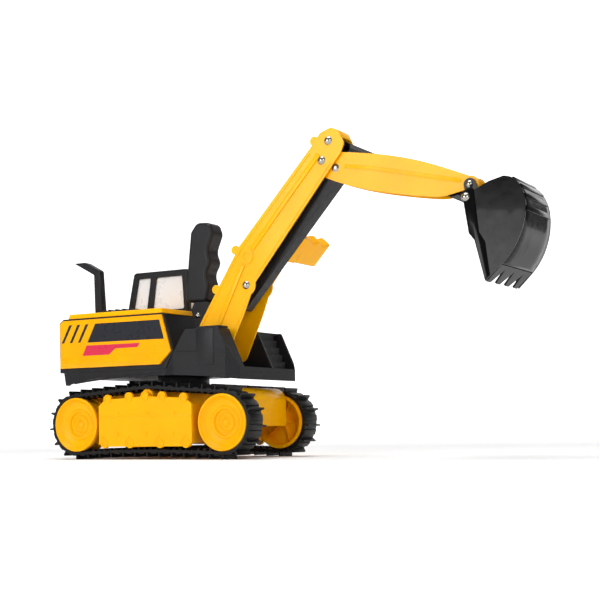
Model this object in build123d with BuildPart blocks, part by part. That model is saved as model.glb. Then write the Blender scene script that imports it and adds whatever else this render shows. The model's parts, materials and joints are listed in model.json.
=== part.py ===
from build123d import *
from math import acos, atan2, cos, degrees, hypot, radians, sin
import os

# Toy excavator, millimetres. +X points to the bucket, +Y to the machine's left, +Z up.
# The origin is on the ground, under the axis that the house turns about.

os.makedirs("parts", exist_ok=True)

# ---------------------------------------------------------------- driving dimensions

# Tracks
WHEEL_BASE = 181.0
WHEEL_R = 27.8
HUB_Z = 35.8
BELT_INNER_R = 28.3
BELT_THICK = 3.0
FIN_HEIGHT = 4.5
FIN_THICK = 1.7
FIN_ROOT = 1.0
FIN_COUNT = 37
BELT_IN_Y = 40.5
BELT_OUT_Y = 65.0
WHEEL_FACE_Y = 65.7
WHEEL_WIDTH = 24.7
ROLLER_R = 7.0
ROLLER_Z = 63.5
ROLLER_GAP = 0.3
LOWER_RUN_RISE = 2.4
LEAVE_ANGLE = 3.0
AXLE_R = 2.0
RUN_FIT = 0.06

# Chassis and turntable
CHASSIS_HALF_Y = 38.0
CHASSIS_HALF_X = 101.0
CHASSIS_LOW_Z = 31.6
CHASSIS_TOP_Z = 70.0
CHASSIS_ROUND = 13.0
SHEET = 2.4
RING_TOP_Z = 75.5
RING_R = 29.0
RING_ROUND = 1.0
SWIVEL_R = 4.0

# Bogie covers
COVER_HALF_X = 57.5
COVER_LOW_Z = 13.0
COVER_TOP_Z = 62.0
COVER_FACE_Y = 68.4
COVER_BACK_Y = 65.4

# House
HOUSE_REAR_X = -112.0
HOUSE_FRONT_X = 101.7
BASE_LOW_Z = 76.8
FLOOR_Z = 84.0
FLOOR_TOP_Z = 87.0
BASE_TOP_Z = 90.0
HOUSE_HALF_Y = 57.6
CHEEK_HALF_Y = 59.5
ARCH_TOP_Z = 83.9
BODY_TOP_Z = 146.0
BODY_FRONT_X = 14.0
CREASE_Z = 107.0
PANEL_THICK = 2.0
HOOD_TOP_Z = 151.0
WALL = 2.4

# Slot between the cheeks, where the boom stands
BOOM_Y = -14.5
SLOT_RIGHT_Y = -40.0
SLOT_LEFT_Y = 11.0
STAIR_LEFT_Y = 50.0
STEP_COUNT = 5
STEP_RISE = 7.5
STEP_RUN = 3.4

# Cab
CAB_RIGHT_Y = 5.0
CAB_LEFT_Y = 55.0
CAB_TOP_Z = 197.5
CAB_WALL = 2.4
GLASS_THICK = 1.2

# Pivots of the digging arm, as (x, z)
FOOT = (55.0, 109.5)
TOP_PIVOT = (190.0, 301.0)
ELBOW = (183.0, 283.0)
SLOT_PIVOT = (99.0, 170.0)
BAR_PIVOT = (196.0, 275.0)
BUCKET_PIVOT = (333.0, 244.0)
LINK_PIVOT = (337.0, 229.0)

# Boom
FOOT_HALF_Y = 19.6
TOP_HALF_Y = 11.2
BOOM_SHEET = 1.6
FOOT_R = 20.0
FOOT_PIN_R = 3.5
RIVET_R = 2.0
ELBOW_R = 2.5
HEAD_R = 4.2
HEAD_HEIGHT = 2.4
FLAT_HEAD = 1.1

# Stick, push bar, link and bucket
STICK_HALF_Y = 8.5
STICK_SHEET = 1.5
BAR_HALF_Y = 6.3
BAR_FRONT = 10.0
BAR_BACK = 6.0
BAR_TAIL = 25.0
BAR_SHEET = 1.5
LINK_HALF_Y = 4.0
LINK_HALF_HEIGHT = 5.2
LINK_EYE_R = 3.8
LINK_SHEET = 1.4
LINK_SOLID_END = 8.0
BUCKET_TOP_HALF_Y = 28.0
BUCKET_TOP_Z = 243.0
BUCKET_FLARE = 0.15
BUCKET_SHEET = 1.8
LIP = (373.0, 167.0)
TOOTH_TIP = (358.5, 153.5)


# ---------------------------------------------------------------- helpers


def save(piece, name):
    """Label a finished piece and write it to its own STEP file."""
    piece.label = name
    export_step(piece, f"parts/{name}.step")


def at_y(y):
    """Upright plane at this y. Its own x and y run along the model's X and Z."""
    return Plane.XZ.offset(-y)


def slab(points, y_low, y_high, radius=0.0):
    """Plate with a side outline of (x, z) points between two y values, corners rounded."""
    with BuildPart() as piece:
        with BuildSketch(at_y(y_low)):
            with BuildLine():
                Polyline(*points, close=True)
            make_face()
        extrude(amount=y_low - y_high)
        if radius > 0:
            fillet(piece.edges().filter_by(Axis.Y), radius)
    return piece.part


def rod(point, radius, y_low, y_high):
    """Round bar along Y through an (x, z) point."""
    with BuildPart() as piece:
        with BuildSketch(at_y(y_low)):
            with Locations(point):
                Circle(radius)
        extrude(amount=y_low - y_high)
    return piece.part


def rivet(point, half_grip, shank_r, head_r=HEAD_R, head_height=HEAD_HEIGHT):
    """Rivet along Y through the boom's middle, with a domed head at each end."""
    x, z = point
    tip = half_grip + head_height
    dome_r = (head_r**2 + head_height**2) / (2 * head_height)
    shoulder = tip - dome_r + (dome_r**2 - (head_r / 2) ** 2) ** 0.5
    with BuildPart() as piece:
        with BuildSketch(Plane(origin=(x, BOOM_Y, z), x_dir=(1, 0, 0), z_dir=(0, 0, 1))):
            with BuildLine():
                ThreePointArc((0, -tip), (head_r / 2, -shoulder), (head_r, -half_grip))
                Polyline(
                    (head_r, -half_grip),
                    (shank_r, -half_grip),
                    (shank_r, half_grip),
                    (head_r, half_grip),
                )
                ThreePointArc((head_r, half_grip), (head_r / 2, shoulder), (0, tip))
                Line((0, tip), (0, -tip))
            make_face()
        revolve(axis=Axis((x, BOOM_Y, z), (0, 1, 0)))
    return piece.part


def across(piece):
    """The same piece on the other side of the machine's middle plane."""
    return mirror(piece, about=Plane.XZ)


def across_boom(piece):
    """The same piece on the other side of the boom's middle plane."""
    return mirror(piece, about=Plane.XZ.offset(-BOOM_Y))


# ---------------------------------------------------------------- tracks

REAR_HUB = (-WHEEL_BASE / 2, HUB_Z)
FRONT_HUB = (WHEEL_BASE / 2, HUB_Z)
ROLLER_HUB = (0.0, ROLLER_Z)


def belt_loop(gap):
    """Closed loop round both wheels and the roller, this far outside the belt's inner face."""
    wheel_r = BELT_INNER_R + gap
    roller_r = ROLLER_R + ROLLER_GAP + gap
    run = hypot(WHEEL_BASE / 2, ROLLER_Z - HUB_Z)
    lean = atan2(ROLLER_Z - HUB_Z, WHEEL_BASE / 2) + acos((wheel_r - roller_r) / run)
    off_wheel = (REAR_HUB[0] + wheel_r * cos(lean), HUB_Z + wheel_r * sin(lean))
    on_roller = (roller_r * cos(lean), ROLLER_Z + roller_r * sin(lean))
    leave = radians(LEAVE_ANGLE)
    below = (REAR_HUB[0] + wheel_r * sin(leave), HUB_Z - wheel_r * cos(leave))
    front_below = (-below[0], below[1])
    middle_z = HUB_Z - BELT_INNER_R + LOWER_RUN_RISE - gap
    with BuildLine(mode=Mode.PRIVATE) as loop:
        ThreePointArc(below, (REAR_HUB[0] - wheel_r, HUB_Z), off_wheel)
        Line(off_wheel, on_roller)
        ThreePointArc(on_roller, (0, ROLLER_Z + roller_r), (-on_roller[0], on_roller[1]))
        Line((-on_roller[0], on_roller[1]), (-off_wheel[0], off_wheel[1]))
        ThreePointArc((-off_wheel[0], off_wheel[1]), (FRONT_HUB[0] + wheel_r, HUB_Z), front_below)
        ThreePointArc(front_below, (0, middle_z), below)
    return loop.wire()


outer_loop = belt_loop(BELT_THICK)
# The first fin stands straight down under the rear hub
first_fin = radians(LEAVE_ANGLE) * (BELT_INNER_R + BELT_THICK)

with BuildPart() as belt_right:
    with BuildSketch(at_y(-BELT_OUT_Y)):
        add(outer_loop)
        make_face()
        for fin in range(FIN_COUNT):
            share = first_fin / outer_loop.length + fin / FIN_COUNT
            place = outer_loop.position_at(share)
            along = outer_loop.tangent_at(share)
            turn = degrees(atan2(along.Y, along.X))
            with Locations(Location((place.X, place.Y, 0), (0, 0, turn))):
                with Locations((0, -FIN_ROOT)):
                    Rectangle(FIN_THICK, FIN_HEIGHT + FIN_ROOT, align=(Align.CENTER, Align.MIN))
        add(make_face(belt_loop(0), mode=Mode.PRIVATE), mode=Mode.SUBTRACT)
    extrude(amount=BELT_IN_Y - BELT_OUT_Y)

save(belt_right.part, "track_belt_right")
save(across(belt_right.part), "track_belt_left")

INNER_FLANGE = 2.0
# Wheel section as (radius, depth behind the outer face), from the hub dome round to the bore
WHEEL_SECTION = [
    (4.8, 8.2),
    (7.6, 8.2),
    (8.2, 7.2),
    (9.6, 7.2),
    (10.2, 8.2),
    (12.4, 8.2),
    (13.0, 6.3),
    (15.0, 6.3),
    (16.0, 7.2),
    (22.0, 4.8),
    (25.2, 1.4),
    (25.8, 0.0),
    (27.2, 0.0),
    (WHEEL_R, 0.7),
    (WHEEL_R, 5.0),
    (25.0, 5.0),
    (25.0, WHEEL_WIDTH - INNER_FLANGE),
    (27.4, WHEEL_WIDTH - INNER_FLANGE),
    (27.4, WHEEL_WIDTH),
    (24.0, WHEEL_WIDTH),
    (23.2, 11.0),
    (5.2, 11.0),
    (5.2, WHEEL_WIDTH),
    (AXLE_R + RUN_FIT, WHEEL_WIDTH),
    (AXLE_R + RUN_FIT, 10.6),
    (0.0, 10.6),
]
HUB_DOME_DEPTH = 6.0
RIB_COUNT = 5
RIB_DEPTH = 4.0


def wheel(hub_x):
    """Right-hand track wheel: dished face, flanged drum for the belt and ribs behind the web."""
    hub = (hub_x, -WHEEL_FACE_Y, HUB_Z)
    with BuildPart() as piece:
        with BuildSketch(Plane(origin=hub, x_dir=(1, 0, 0), z_dir=(0, 0, 1))):
            with BuildLine():
                ThreePointArc((0, HUB_DOME_DEPTH), (3.4, 6.9), WHEEL_SECTION[0])
                Polyline(*WHEEL_SECTION)
                Line(WHEEL_SECTION[-1], (0, HUB_DOME_DEPTH))
            make_face()
        revolve(axis=Axis(hub, (0, 1, 0)))
        with BuildSketch(at_y(-WHEEL_FACE_Y + 10.8)):
            with Locations((hub_x, HUB_Z)):
                with PolarLocations(14.2, RIB_COUNT):
                    Rectangle(18.6, 1.2)
        extrude(amount=-RIB_DEPTH)
    return piece.part


for end, hub_x in (("front", WHEEL_BASE / 2), ("rear", -WHEEL_BASE / 2)):
    right_wheel = wheel(hub_x)
    save(right_wheel, f"wheel_{end}_right")
    save(across(right_wheel), f"wheel_{end}_left")
    axle_half = WHEEL_FACE_Y - 10.9
    save(rod((hub_x, HUB_Z), AXLE_R, -axle_half, axle_half), f"{end}_axle")

ROLLER_PIN_R = 1.6
ROLLER_IN_Y = 43.0
ROLLER_OUT_Y = 63.0

with BuildPart() as roller_right:
    with BuildSketch(at_y(-ROLLER_OUT_Y)):
        with Locations(ROLLER_HUB):
            Circle(ROLLER_R)
    extrude(amount=ROLLER_IN_Y - ROLLER_OUT_Y)
    fillet(roller_right.edges().filter_by(GeomType.CIRCLE), 0.6)
    with BuildSketch(at_y(-ROLLER_OUT_Y)):
        with Locations(ROLLER_HUB):
            Circle(ROLLER_PIN_R + RUN_FIT)
    extrude(amount=ROLLER_IN_Y - ROLLER_OUT_Y, mode=Mode.SUBTRACT)

save(roller_right.part, "upper_roller_right")
save(across(roller_right.part), "upper_roller_left")

with BuildPart() as roller_pins:
    for side in (-1, 1):
        inner_y = side * (CHASSIS_HALF_Y - SHEET)
        outer_y = side * (COVER_BACK_Y + 1.5)
        add(rod(ROLLER_HUB, ROLLER_PIN_R, min(inner_y, outer_y), max(inner_y, outer_y)))

save(roller_pins.part, "roller_pins")

# ---------------------------------------------------------------- bogie covers

TOP_STUDS_X = (-46.0, -19.0, 1.0, 22.0, 48.0)
LOW_STUDS_X = (-50.5, -18.0, 19.0, 50.5)
UPPER_DOTS_X = (-34.0, 2.0, 35.0)
STUD_R = 4.7
STUD_RIM = 1.3
STUD_RELIEF = 0.6
LOW_STUD_RISE = 3.2
CORNER_CUT = 8.0
LOW_CORNER_CUT = 3.5
TRAY_HALF_X = 55.0
TRAY_LOW_Z = 16.0
TRAY_TOP_Z = 54.0


def top_stud_z(x):
    """The studs along the top edge stand on a shallow arch."""
    return 63.0 - 2.6 * (x / 50.0) ** 2


studs = [(x, top_stud_z(x)) for x in TOP_STUDS_X]
studs += [(x, COVER_LOW_Z + LOW_STUD_RISE) for x in LOW_STUDS_X]

with BuildPart() as cover_right:
    with BuildSketch(at_y(-COVER_FACE_Y)):
        with BuildLine():
            Polyline(
                (-COVER_HALF_X + LOW_CORNER_CUT, COVER_LOW_Z),
                (-COVER_HALF_X, COVER_LOW_Z + LOW_CORNER_CUT),
                (-COVER_HALF_X, COVER_TOP_Z - CORNER_CUT),
                (-COVER_HALF_X + CORNER_CUT, COVER_TOP_Z - 1.5),
                (0, COVER_TOP_Z + 1.0),
                (COVER_HALF_X - CORNER_CUT, COVER_TOP_Z - 1.5),
                (COVER_HALF_X, COVER_TOP_Z - CORNER_CUT),
                (COVER_HALF_X, COVER_LOW_Z + LOW_CORNER_CUT),
                (COVER_HALF_X - LOW_CORNER_CUT, COVER_LOW_Z),
                close=True,
            )
        make_face()
        with Locations(*studs):
            Circle(STUD_R)
    extrude(amount=COVER_BACK_Y - COVER_FACE_Y)
    with BuildSketch(at_y(-COVER_BACK_Y)):
        with Locations((0, (TRAY_LOW_Z + TRAY_TOP_Z) / 2)):
            Rectangle(2 * TRAY_HALF_X, TRAY_TOP_Z - TRAY_LOW_Z)
            Rectangle(2 * (TRAY_HALF_X - WALL), TRAY_TOP_Z - TRAY_LOW_Z - 2 * WALL, mode=Mode.SUBTRACT)
    extrude(amount=CHASSIS_HALF_Y - COVER_BACK_Y)
    with BuildSketch(at_y(-COVER_FACE_Y)):
        for x in UPPER_DOTS_X:
            with Locations((x, 46.0), (x - 1.0, 25.5)):
                Circle(2.6)
        with Locations(*studs):
            Circle(STUD_R)
            Circle(STUD_R - STUD_RIM, mode=Mode.SUBTRACT)
    extrude(amount=STUD_RELIEF)
    with BuildSketch(at_y(-COVER_BACK_Y)):
        with Locations(ROLLER_HUB):
            Circle(ROLLER_PIN_R)
    extrude(amount=1.5, mode=Mode.SUBTRACT)

save(cover_right.part, "bogie_cover_right")
save(across(cover_right.part), "bogie_cover_left")

# ---------------------------------------------------------------- chassis and turntable

with BuildPart() as chassis:
    with BuildSketch(at_y(-CHASSIS_HALF_Y)):
        with Locations((0, (CHASSIS_LOW_Z + CHASSIS_TOP_Z) / 2)):
            Rectangle(2 * CHASSIS_HALF_X, CHASSIS_TOP_Z - CHASSIS_LOW_Z)
    extrude(amount=-2 * CHASSIS_HALF_Y)
    fillet(chassis.edges().filter_by(Axis.Y).group_by(Axis.Z)[-1], CHASSIS_ROUND)
    with BuildSketch(at_y(-CHASSIS_HALF_Y + SHEET)) as chassis_hollow:
        with Locations((0, (CHASSIS_LOW_Z + CHASSIS_TOP_Z) / 2 - SHEET)):
            Rectangle(2 * (CHASSIS_HALF_X - SHEET), CHASSIS_TOP_Z - CHASSIS_LOW_Z)
        fillet(chassis_hollow.vertices().group_by(Axis.Y)[-1], CHASSIS_ROUND - SHEET)
    extrude(amount=-2 * (CHASSIS_HALF_Y - SHEET), mode=Mode.SUBTRACT)
    with BuildSketch(at_y(-CHASSIS_HALF_Y)):
        with Locations(REAR_HUB, FRONT_HUB):
            Circle(AXLE_R)
        with Locations(ROLLER_HUB):
            Circle(ROLLER_PIN_R)
    extrude(amount=-2 * CHASSIS_HALF_Y, mode=Mode.SUBTRACT)
    with BuildSketch(Plane.XY.offset(CHASSIS_TOP_Z - SHEET)):
        Circle(SWIVEL_R)
    extrude(amount=SHEET, mode=Mode.SUBTRACT)

save(chassis.part, "chassis")

with BuildPart() as turntable_ring:
    with BuildSketch(Plane.XY.offset(CHASSIS_TOP_Z)):
        Circle(RING_R)
        Circle(SWIVEL_R, mode=Mode.SUBTRACT)
    extrude(amount=RING_TOP_Z - CHASSIS_TOP_Z)
    top_circles = turntable_ring.edges().filter_by(GeomType.CIRCLE).group_by(Axis.Z)[-1]
    fillet(top_circles.sort_by(SortBy.RADIUS)[-1], RING_ROUND)

save(turntable_ring.part, "turntable_ring")

WASHER_THICK = 1.4
RIVET_HEAD_THICK = 2.6
RIVET_HEAD_R = 8.0

with BuildPart() as swivel_rivet:
    with BuildSketch(Plane.XY.offset(CHASSIS_TOP_Z - SHEET - RIVET_HEAD_THICK)):
        Circle(RIVET_HEAD_R)
    extrude(amount=RIVET_HEAD_THICK)
    with BuildSketch(Plane.XY.offset(CHASSIS_TOP_Z - SHEET)):
        Circle(SWIVEL_R)
    extrude(amount=FLOOR_TOP_Z + WASHER_THICK + 0.3 - CHASSIS_TOP_Z + SHEET)
    with BuildSketch(Plane.XY.offset(FLOOR_TOP_Z + WASHER_THICK + 0.3)):
        Circle(RIVET_HEAD_R - 1.5)
    extrude(amount=RIVET_HEAD_THICK)
    fillet(swivel_rivet.edges().group_by(Axis.Z)[-1], 1.6)

save(swivel_rivet.part, "swivel_rivet")

with BuildPart() as swivel_washer:
    with BuildSketch(Plane.XY.offset(FLOOR_TOP_Z + 0.3)):
        Circle(RIVET_HEAD_R + 2.0)
        Circle(SWIVEL_R, mode=Mode.SUBTRACT)
    extrude(amount=WASHER_THICK)

save(swivel_washer.part, "swivel_washer")

with BuildPart() as slew_plate:
    with BuildSketch(Plane.XY.offset(RING_TOP_Z + 0.3)):
        Circle(RING_R - 2.0)
        Circle(SWIVEL_R + RUN_FIT, mode=Mode.SUBTRACT)
    extrude(amount=FLOOR_Z - RING_TOP_Z - 0.3)

save(slew_plate.part, "slew_plate")

# ---------------------------------------------------------------- house

# Plan of the house: wide at the sides, with a cut corner at each front end
PLAN = [
    (HOUSE_REAR_X, -HOUSE_HALF_Y),
    (20.0, -HOUSE_HALF_Y),
    (30.0, -CHEEK_HALF_Y),
    (92.0, -CHEEK_HALF_Y),
    (HOUSE_FRONT_X, -48.6),
    (HOUSE_FRONT_X, 56.5),
    (98.5, CHEEK_HALF_Y),
    (30.0, CHEEK_HALF_Y),
    (20.0, HOUSE_HALF_Y),
    (HOUSE_REAR_X, HOUSE_HALF_Y),
]
ARCH_HALF_X = 109.0
ARCH_END_Z = 76.6
REAR_ARCH_HALF_Y = 50.0
REAR_TUCK = 5.0
CUT_HALF_Y = 70.0
CUT_LOW_Z = 60.0


def plan_block(z_low, z_high, inset=0.0):
    """Upright block on the house's plan."""
    with BuildPart() as piece:
        with BuildSketch(Plane.XY.offset(z_low)):
            with BuildLine():
                Polyline(*PLAN, close=True)
            make_face()
            if inset > 0:
                offset(amount=-inset, kind=Kind.INTERSECTION, mode=Mode.REPLACE)
        extrude(amount=z_high - z_low)
    return piece.part


with BuildPart() as house_base:
    add(plan_block(BASE_LOW_Z, BASE_TOP_Z))
    add(plan_block(BASE_LOW_Z, FLOOR_Z, WALL), mode=Mode.SUBTRACT)
    add(plan_block(FLOOR_TOP_Z, BASE_TOP_Z, WALL), mode=Mode.SUBTRACT)
    with BuildSketch(at_y(-CUT_HALF_Y)):
        with BuildLine():
            ThreePointArc((-ARCH_HALF_X, ARCH_END_Z), (-76.0, ARCH_TOP_Z - 1.4), (-50.0, ARCH_TOP_Z))
            Line((-50.0, ARCH_TOP_Z), (0, ARCH_TOP_Z))
            ThreePointArc((0, ARCH_TOP_Z), (ARCH_HALF_X / 2, ARCH_TOP_Z - 1.8), (ARCH_HALF_X, ARCH_END_Z))
            Polyline(
                (ARCH_HALF_X, ARCH_END_Z),
                (ARCH_HALF_X, CUT_LOW_Z),
                (-ARCH_HALF_X, CUT_LOW_Z),
                (-ARCH_HALF_X, ARCH_END_Z),
            )
        make_face()
        with BuildLine():
            Polyline(
                (HOUSE_REAR_X - 1, BASE_TOP_Z),
                (HOUSE_REAR_X, BASE_TOP_Z),
                (HOUSE_REAR_X + REAR_TUCK, CUT_LOW_Z),
                (HOUSE_REAR_X - 1, CUT_LOW_Z),
                close=True,
            )
        make_face()
    extrude(amount=-2 * CUT_HALF_Y, mode=Mode.SUBTRACT)
    with BuildSketch(Plane.YZ.offset(HOUSE_REAR_X - 1)):
        with Locations((0, FLOOR_Z)):
            Rectangle(2 * REAR_ARCH_HALF_Y, FLOOR_Z - BASE_LOW_Z, align=(Align.CENTER, Align.MAX))
    extrude(amount=WALL + 2, mode=Mode.SUBTRACT)
    with BuildSketch(Plane.XY.offset(FLOOR_Z)):
        Circle(SWIVEL_R + RUN_FIT)
    extrude(amount=FLOOR_TOP_Z - FLOOR_Z, mode=Mode.SUBTRACT)

save(house_base.part, "house_base")

BODY_REAR_X = -117.0
# Side of the engine housing, as (x, z)
BODY_SIDE = [
    (BODY_REAR_X, BASE_TOP_Z),
    (BODY_REAR_X, 142.0),
    (-111.5, BODY_TOP_Z),
    (18.0, BODY_TOP_Z),
    (29.5, CREASE_Z + 0.5),
    (19.5, BASE_TOP_Z),
]
PANEL_SIDE = [
    (-114.6, BASE_TOP_Z + 4.6),
    (-114.6, 141.0),
    (-110.2, BODY_TOP_Z - 1.8),
    (16.6, BODY_TOP_Z - 1.8),
    (27.4, CREASE_Z + 0.5),
    (14.0, BASE_TOP_Z + 4.6),
]
BODY_HALF_Y = 58.0
BODY_INSIDE = [
    (BODY_REAR_X + WALL, 80.0),
    (BODY_REAR_X + WALL, 140.9),
    (-110.5, BODY_TOP_Z - WALL),
    (BODY_FRONT_X - WALL, BODY_TOP_Z - WALL),
    (BODY_FRONT_X - WALL, 80.0),
]
PANEL_FLARE = 1.4
PANEL_OUT_Y = -BODY_HALF_Y - PANEL_THICK

with BuildPart() as body_shell:
    add(slab(BODY_SIDE, -BODY_HALF_Y, BODY_HALF_Y))
    with BuildSketch(at_y(-BODY_HALF_Y + WALL)):
        with BuildLine():
            Polyline(*BODY_INSIDE, close=True)
        make_face()
        with Locations((BODY_FRONT_X + 20, 116)):
            Rectangle(40, 70)
    extrude(amount=-2 * (BODY_HALF_Y - WALL), mode=Mode.SUBTRACT)

save(body_shell.part, "body_shell")

with BuildPart() as panel_right:
    add(slab(PANEL_SIDE, -BODY_HALF_Y - PANEL_THICK - PANEL_FLARE, -BODY_HALF_Y))
    with BuildSketch(Plane.YZ.offset(BODY_REAR_X - 3)):
        with BuildLine():
            Polyline(
                (PANEL_OUT_Y, HOOD_TOP_Z),
                (PANEL_OUT_Y, CREASE_Z),
                (PANEL_OUT_Y - PANEL_FLARE, BASE_TOP_Z),
                (PANEL_OUT_Y - 9, BASE_TOP_Z),
                (PANEL_OUT_Y - 9, HOOD_TOP_Z),
                close=True,
            )
        make_face()
    extrude(amount=160.0, mode=Mode.SUBTRACT)

save(panel_right.part, "side_panel_right")
save(across(panel_right.part), "side_panel_left")

with BuildPart() as rear_panel:
    with BuildSketch(Plane.YZ.offset(-119.0)):
        with Locations((0, 117.0)):
            RectangleRounded(100.0, 44.0, 4.0)
        with Locations((0, 104), (0, 110), (0, 116), (0, 122)):
            SlotOverall(70.0, 2.6, mode=Mode.SUBTRACT)
    extrude(amount=2.0)

save(rear_panel.part, "rear_panel")

HOOD_REAR_X = -105.5
HOOD_FRONT_X = 16.0
HOOD_HALF_Y = 57.6
HOOD_SLOPE = 14.0

with BuildPart() as hood:
    with BuildSketch(Plane.XY.offset(BODY_TOP_Z)):
        with Locations(((HOOD_REAR_X + HOOD_FRONT_X) / 2, 0)):
            Rectangle(HOOD_FRONT_X - HOOD_REAR_X, 2 * HOOD_HALF_Y)
    extrude(amount=HOOD_TOP_Z - BODY_TOP_Z, taper=HOOD_SLOPE)
    with BuildSketch(Plane.XY.offset(BODY_TOP_Z)):
        with Locations(((HOOD_REAR_X + HOOD_FRONT_X) / 2, 0)):
            Rectangle(HOOD_FRONT_X - HOOD_REAR_X - 8, 2 * HOOD_HALF_Y - 8)
    extrude(amount=HOOD_TOP_Z - BODY_TOP_Z - WALL, mode=Mode.SUBTRACT)

save(hood.part, "hood")

GRILLE_PITCH = 9.0
GRILLE_BARS_X = [-65.5 + GRILLE_PITCH * bar for bar in range(5)]

with BuildPart() as engine_grille:
    with BuildSketch(Plane.XY.offset(HOOD_TOP_Z)):
        with Locations((-47.5, -31.0)):
            RectangleRounded(46.0, 42.0, 3.0)
    extrude(amount=1.0)
    for x in GRILLE_BARS_X:
        with BuildSketch(at_y(-50.0)):
            with Locations((x, HOOD_TOP_Z + 0.6)):
                Ellipse(2.8, 2.3)
        extrude(amount=-38.0)
    with Locations((-47.5, -31.0, HOOD_TOP_Z)):
        Box(60, 60, 10, align=(Align.CENTER, Align.CENTER, Align.MAX), mode=Mode.SUBTRACT)

save(engine_grille.part, "engine_grille")

# Upright pipe of square section with a flat top that points to the rear, as (x, z)
STACK_SIDE = [
    (-88.5, HOOD_TOP_Z),
    (-79.5, HOOD_TOP_Z),
    (-82.5, 197.5),
    (-101.0, 207.5),
    (-116.0, 207.5),
    (-89.5, 193.5),
]

with BuildPart() as exhaust_stack:
    with BuildSketch(at_y(-34.0)):
        with BuildLine():
            Polyline(*STACK_SIDE, close=True)
        make_face()
    extrude(amount=-8.0)
    chamfer(exhaust_stack.edges().filter_by(Axis.Y), 0.8)

save(exhaust_stack.part, "exhaust_stack")

# Side of both cheeks, as (x, z)
CHEEK_SIDE = [
    (20.5, BASE_TOP_Z),
    (31.0, 107.0),
    (38.0, 118.0),
    (45.0, 128.0),
    (84.0, 128.0),
    (101.5, BASE_TOP_Z),
]
CHEEK_INSIDE = [(32.5, 88.0), (40.5, 116.9), (46.2, 125.6), (82.4, 125.6), (98.0, 88.0)]
CHEEK_CUT_Z = 140.0
BOSS_R = 8.0


def cheek_hollow(y_low, y_high):
    """Space inside a cheek, one wall in from its sides and from the house's plan."""
    with BuildPart() as piece:
        add(slab(CHEEK_INSIDE, y_low + WALL, y_high - WALL))
        add(plan_block(CUT_LOW_Z, CHEEK_CUT_Z, WALL), mode=Mode.INTERSECT)
    return piece.part


def cheek_shell(y_low, y_high):
    """Hollow block of the cheeks' side outline, trimmed to the house's plan."""
    with BuildPart() as piece:
        add(slab(CHEEK_SIDE, y_low, y_high))
        add(plan_block(BASE_TOP_Z, CHEEK_CUT_Z), mode=Mode.INTERSECT)
        fillet(piece.edges().filter_by(Axis.Y).group_by(Axis.Z)[-1], 2.0)
        add(cheek_hollow(y_low, y_high), mode=Mode.SUBTRACT)
    return piece.part


with BuildPart() as right_cheek:
    add(cheek_shell(-CHEEK_HALF_Y, SLOT_RIGHT_Y))
    with Locations((71.0, -50.0, 128.0)):
        Box(26.0, 16.0, 2.0, align=(Align.CENTER, Align.CENTER, Align.MIN))
    with BuildSketch(at_y(SLOT_RIGHT_Y)):
        with Locations(FOOT):
            Circle(BOSS_R)
    extrude(amount=-5.0)
    add(rod(FOOT, FOOT_PIN_R, SLOT_RIGHT_Y - WALL - 1, SLOT_RIGHT_Y + 6), mode=Mode.SUBTRACT)

save(right_cheek.part, "right_cheek")

STAIR_X = 80.0
stair = [(STAIR_X - 10, BASE_TOP_Z), (STAIR_X - 10, 127.5), (STAIR_X, 127.5)]
for step in range(STEP_COUNT):
    tread_x = STAIR_X + step * STEP_RUN
    tread_z = 127.5 - (step + 1) * STEP_RISE
    stair += [(tread_x, tread_z), (tread_x + STEP_RUN, tread_z)]
stair = stair[:-1]

with BuildPart() as left_cheek:
    add(cheek_shell(SLOT_LEFT_Y, CHEEK_HALF_Y))
    with BuildSketch(at_y(SLOT_LEFT_Y + WALL)):
        with BuildLine():
            Polyline((STAIR_X, 140), (STAIR_X, 80), (110, 80), (110, 140), close=True)
        make_face()
    extrude(amount=SLOT_LEFT_Y - CHEEK_HALF_Y + 2 * WALL, mode=Mode.SUBTRACT)
    add(slab(stair, SLOT_LEFT_Y + WALL, STAIR_LEFT_Y))
    with BuildSketch(at_y(SLOT_LEFT_Y)):
        with Locations(FOOT):
            Circle(BOSS_R)
    extrude(amount=5.0)
    add(rod(FOOT, FOOT_PIN_R, SLOT_LEFT_Y - 6, SLOT_LEFT_Y + WALL + 1), mode=Mode.SUBTRACT)

save(left_cheek.part, "left_cheek")

save(rod(FOOT, FOOT_PIN_R, SLOT_RIGHT_Y - WALL - 2, SLOT_LEFT_Y + WALL + 2), "foot_pin")

# ---------------------------------------------------------------- cab

CAB_SIDE = [
    (-78.0, HOOD_TOP_Z),
    (-67.5, CAB_TOP_Z),
    (3.5, CAB_TOP_Z),
    (3.5, HOOD_TOP_Z),
]
CAB_INSIDE = [
    (-75.5, 140.0),
    (-75.0, HOOD_TOP_Z),
    (-65.4, CAB_TOP_Z - CAB_WALL),
    (3.5 - CAB_WALL, CAB_TOP_Z - CAB_WALL),
    (3.5 - CAB_WALL, 140.0),
]
REAR_WINDOW = [(-68.5, 156.0), (-61.0, 190.5), (-44.5, 190.5), (-50.5, 156.0)]
SIDE_WINDOW = [(-43.0, 156.0), (-37.5, 190.5), (-4.0, 190.5), (-2.0, 156.0)]

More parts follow.
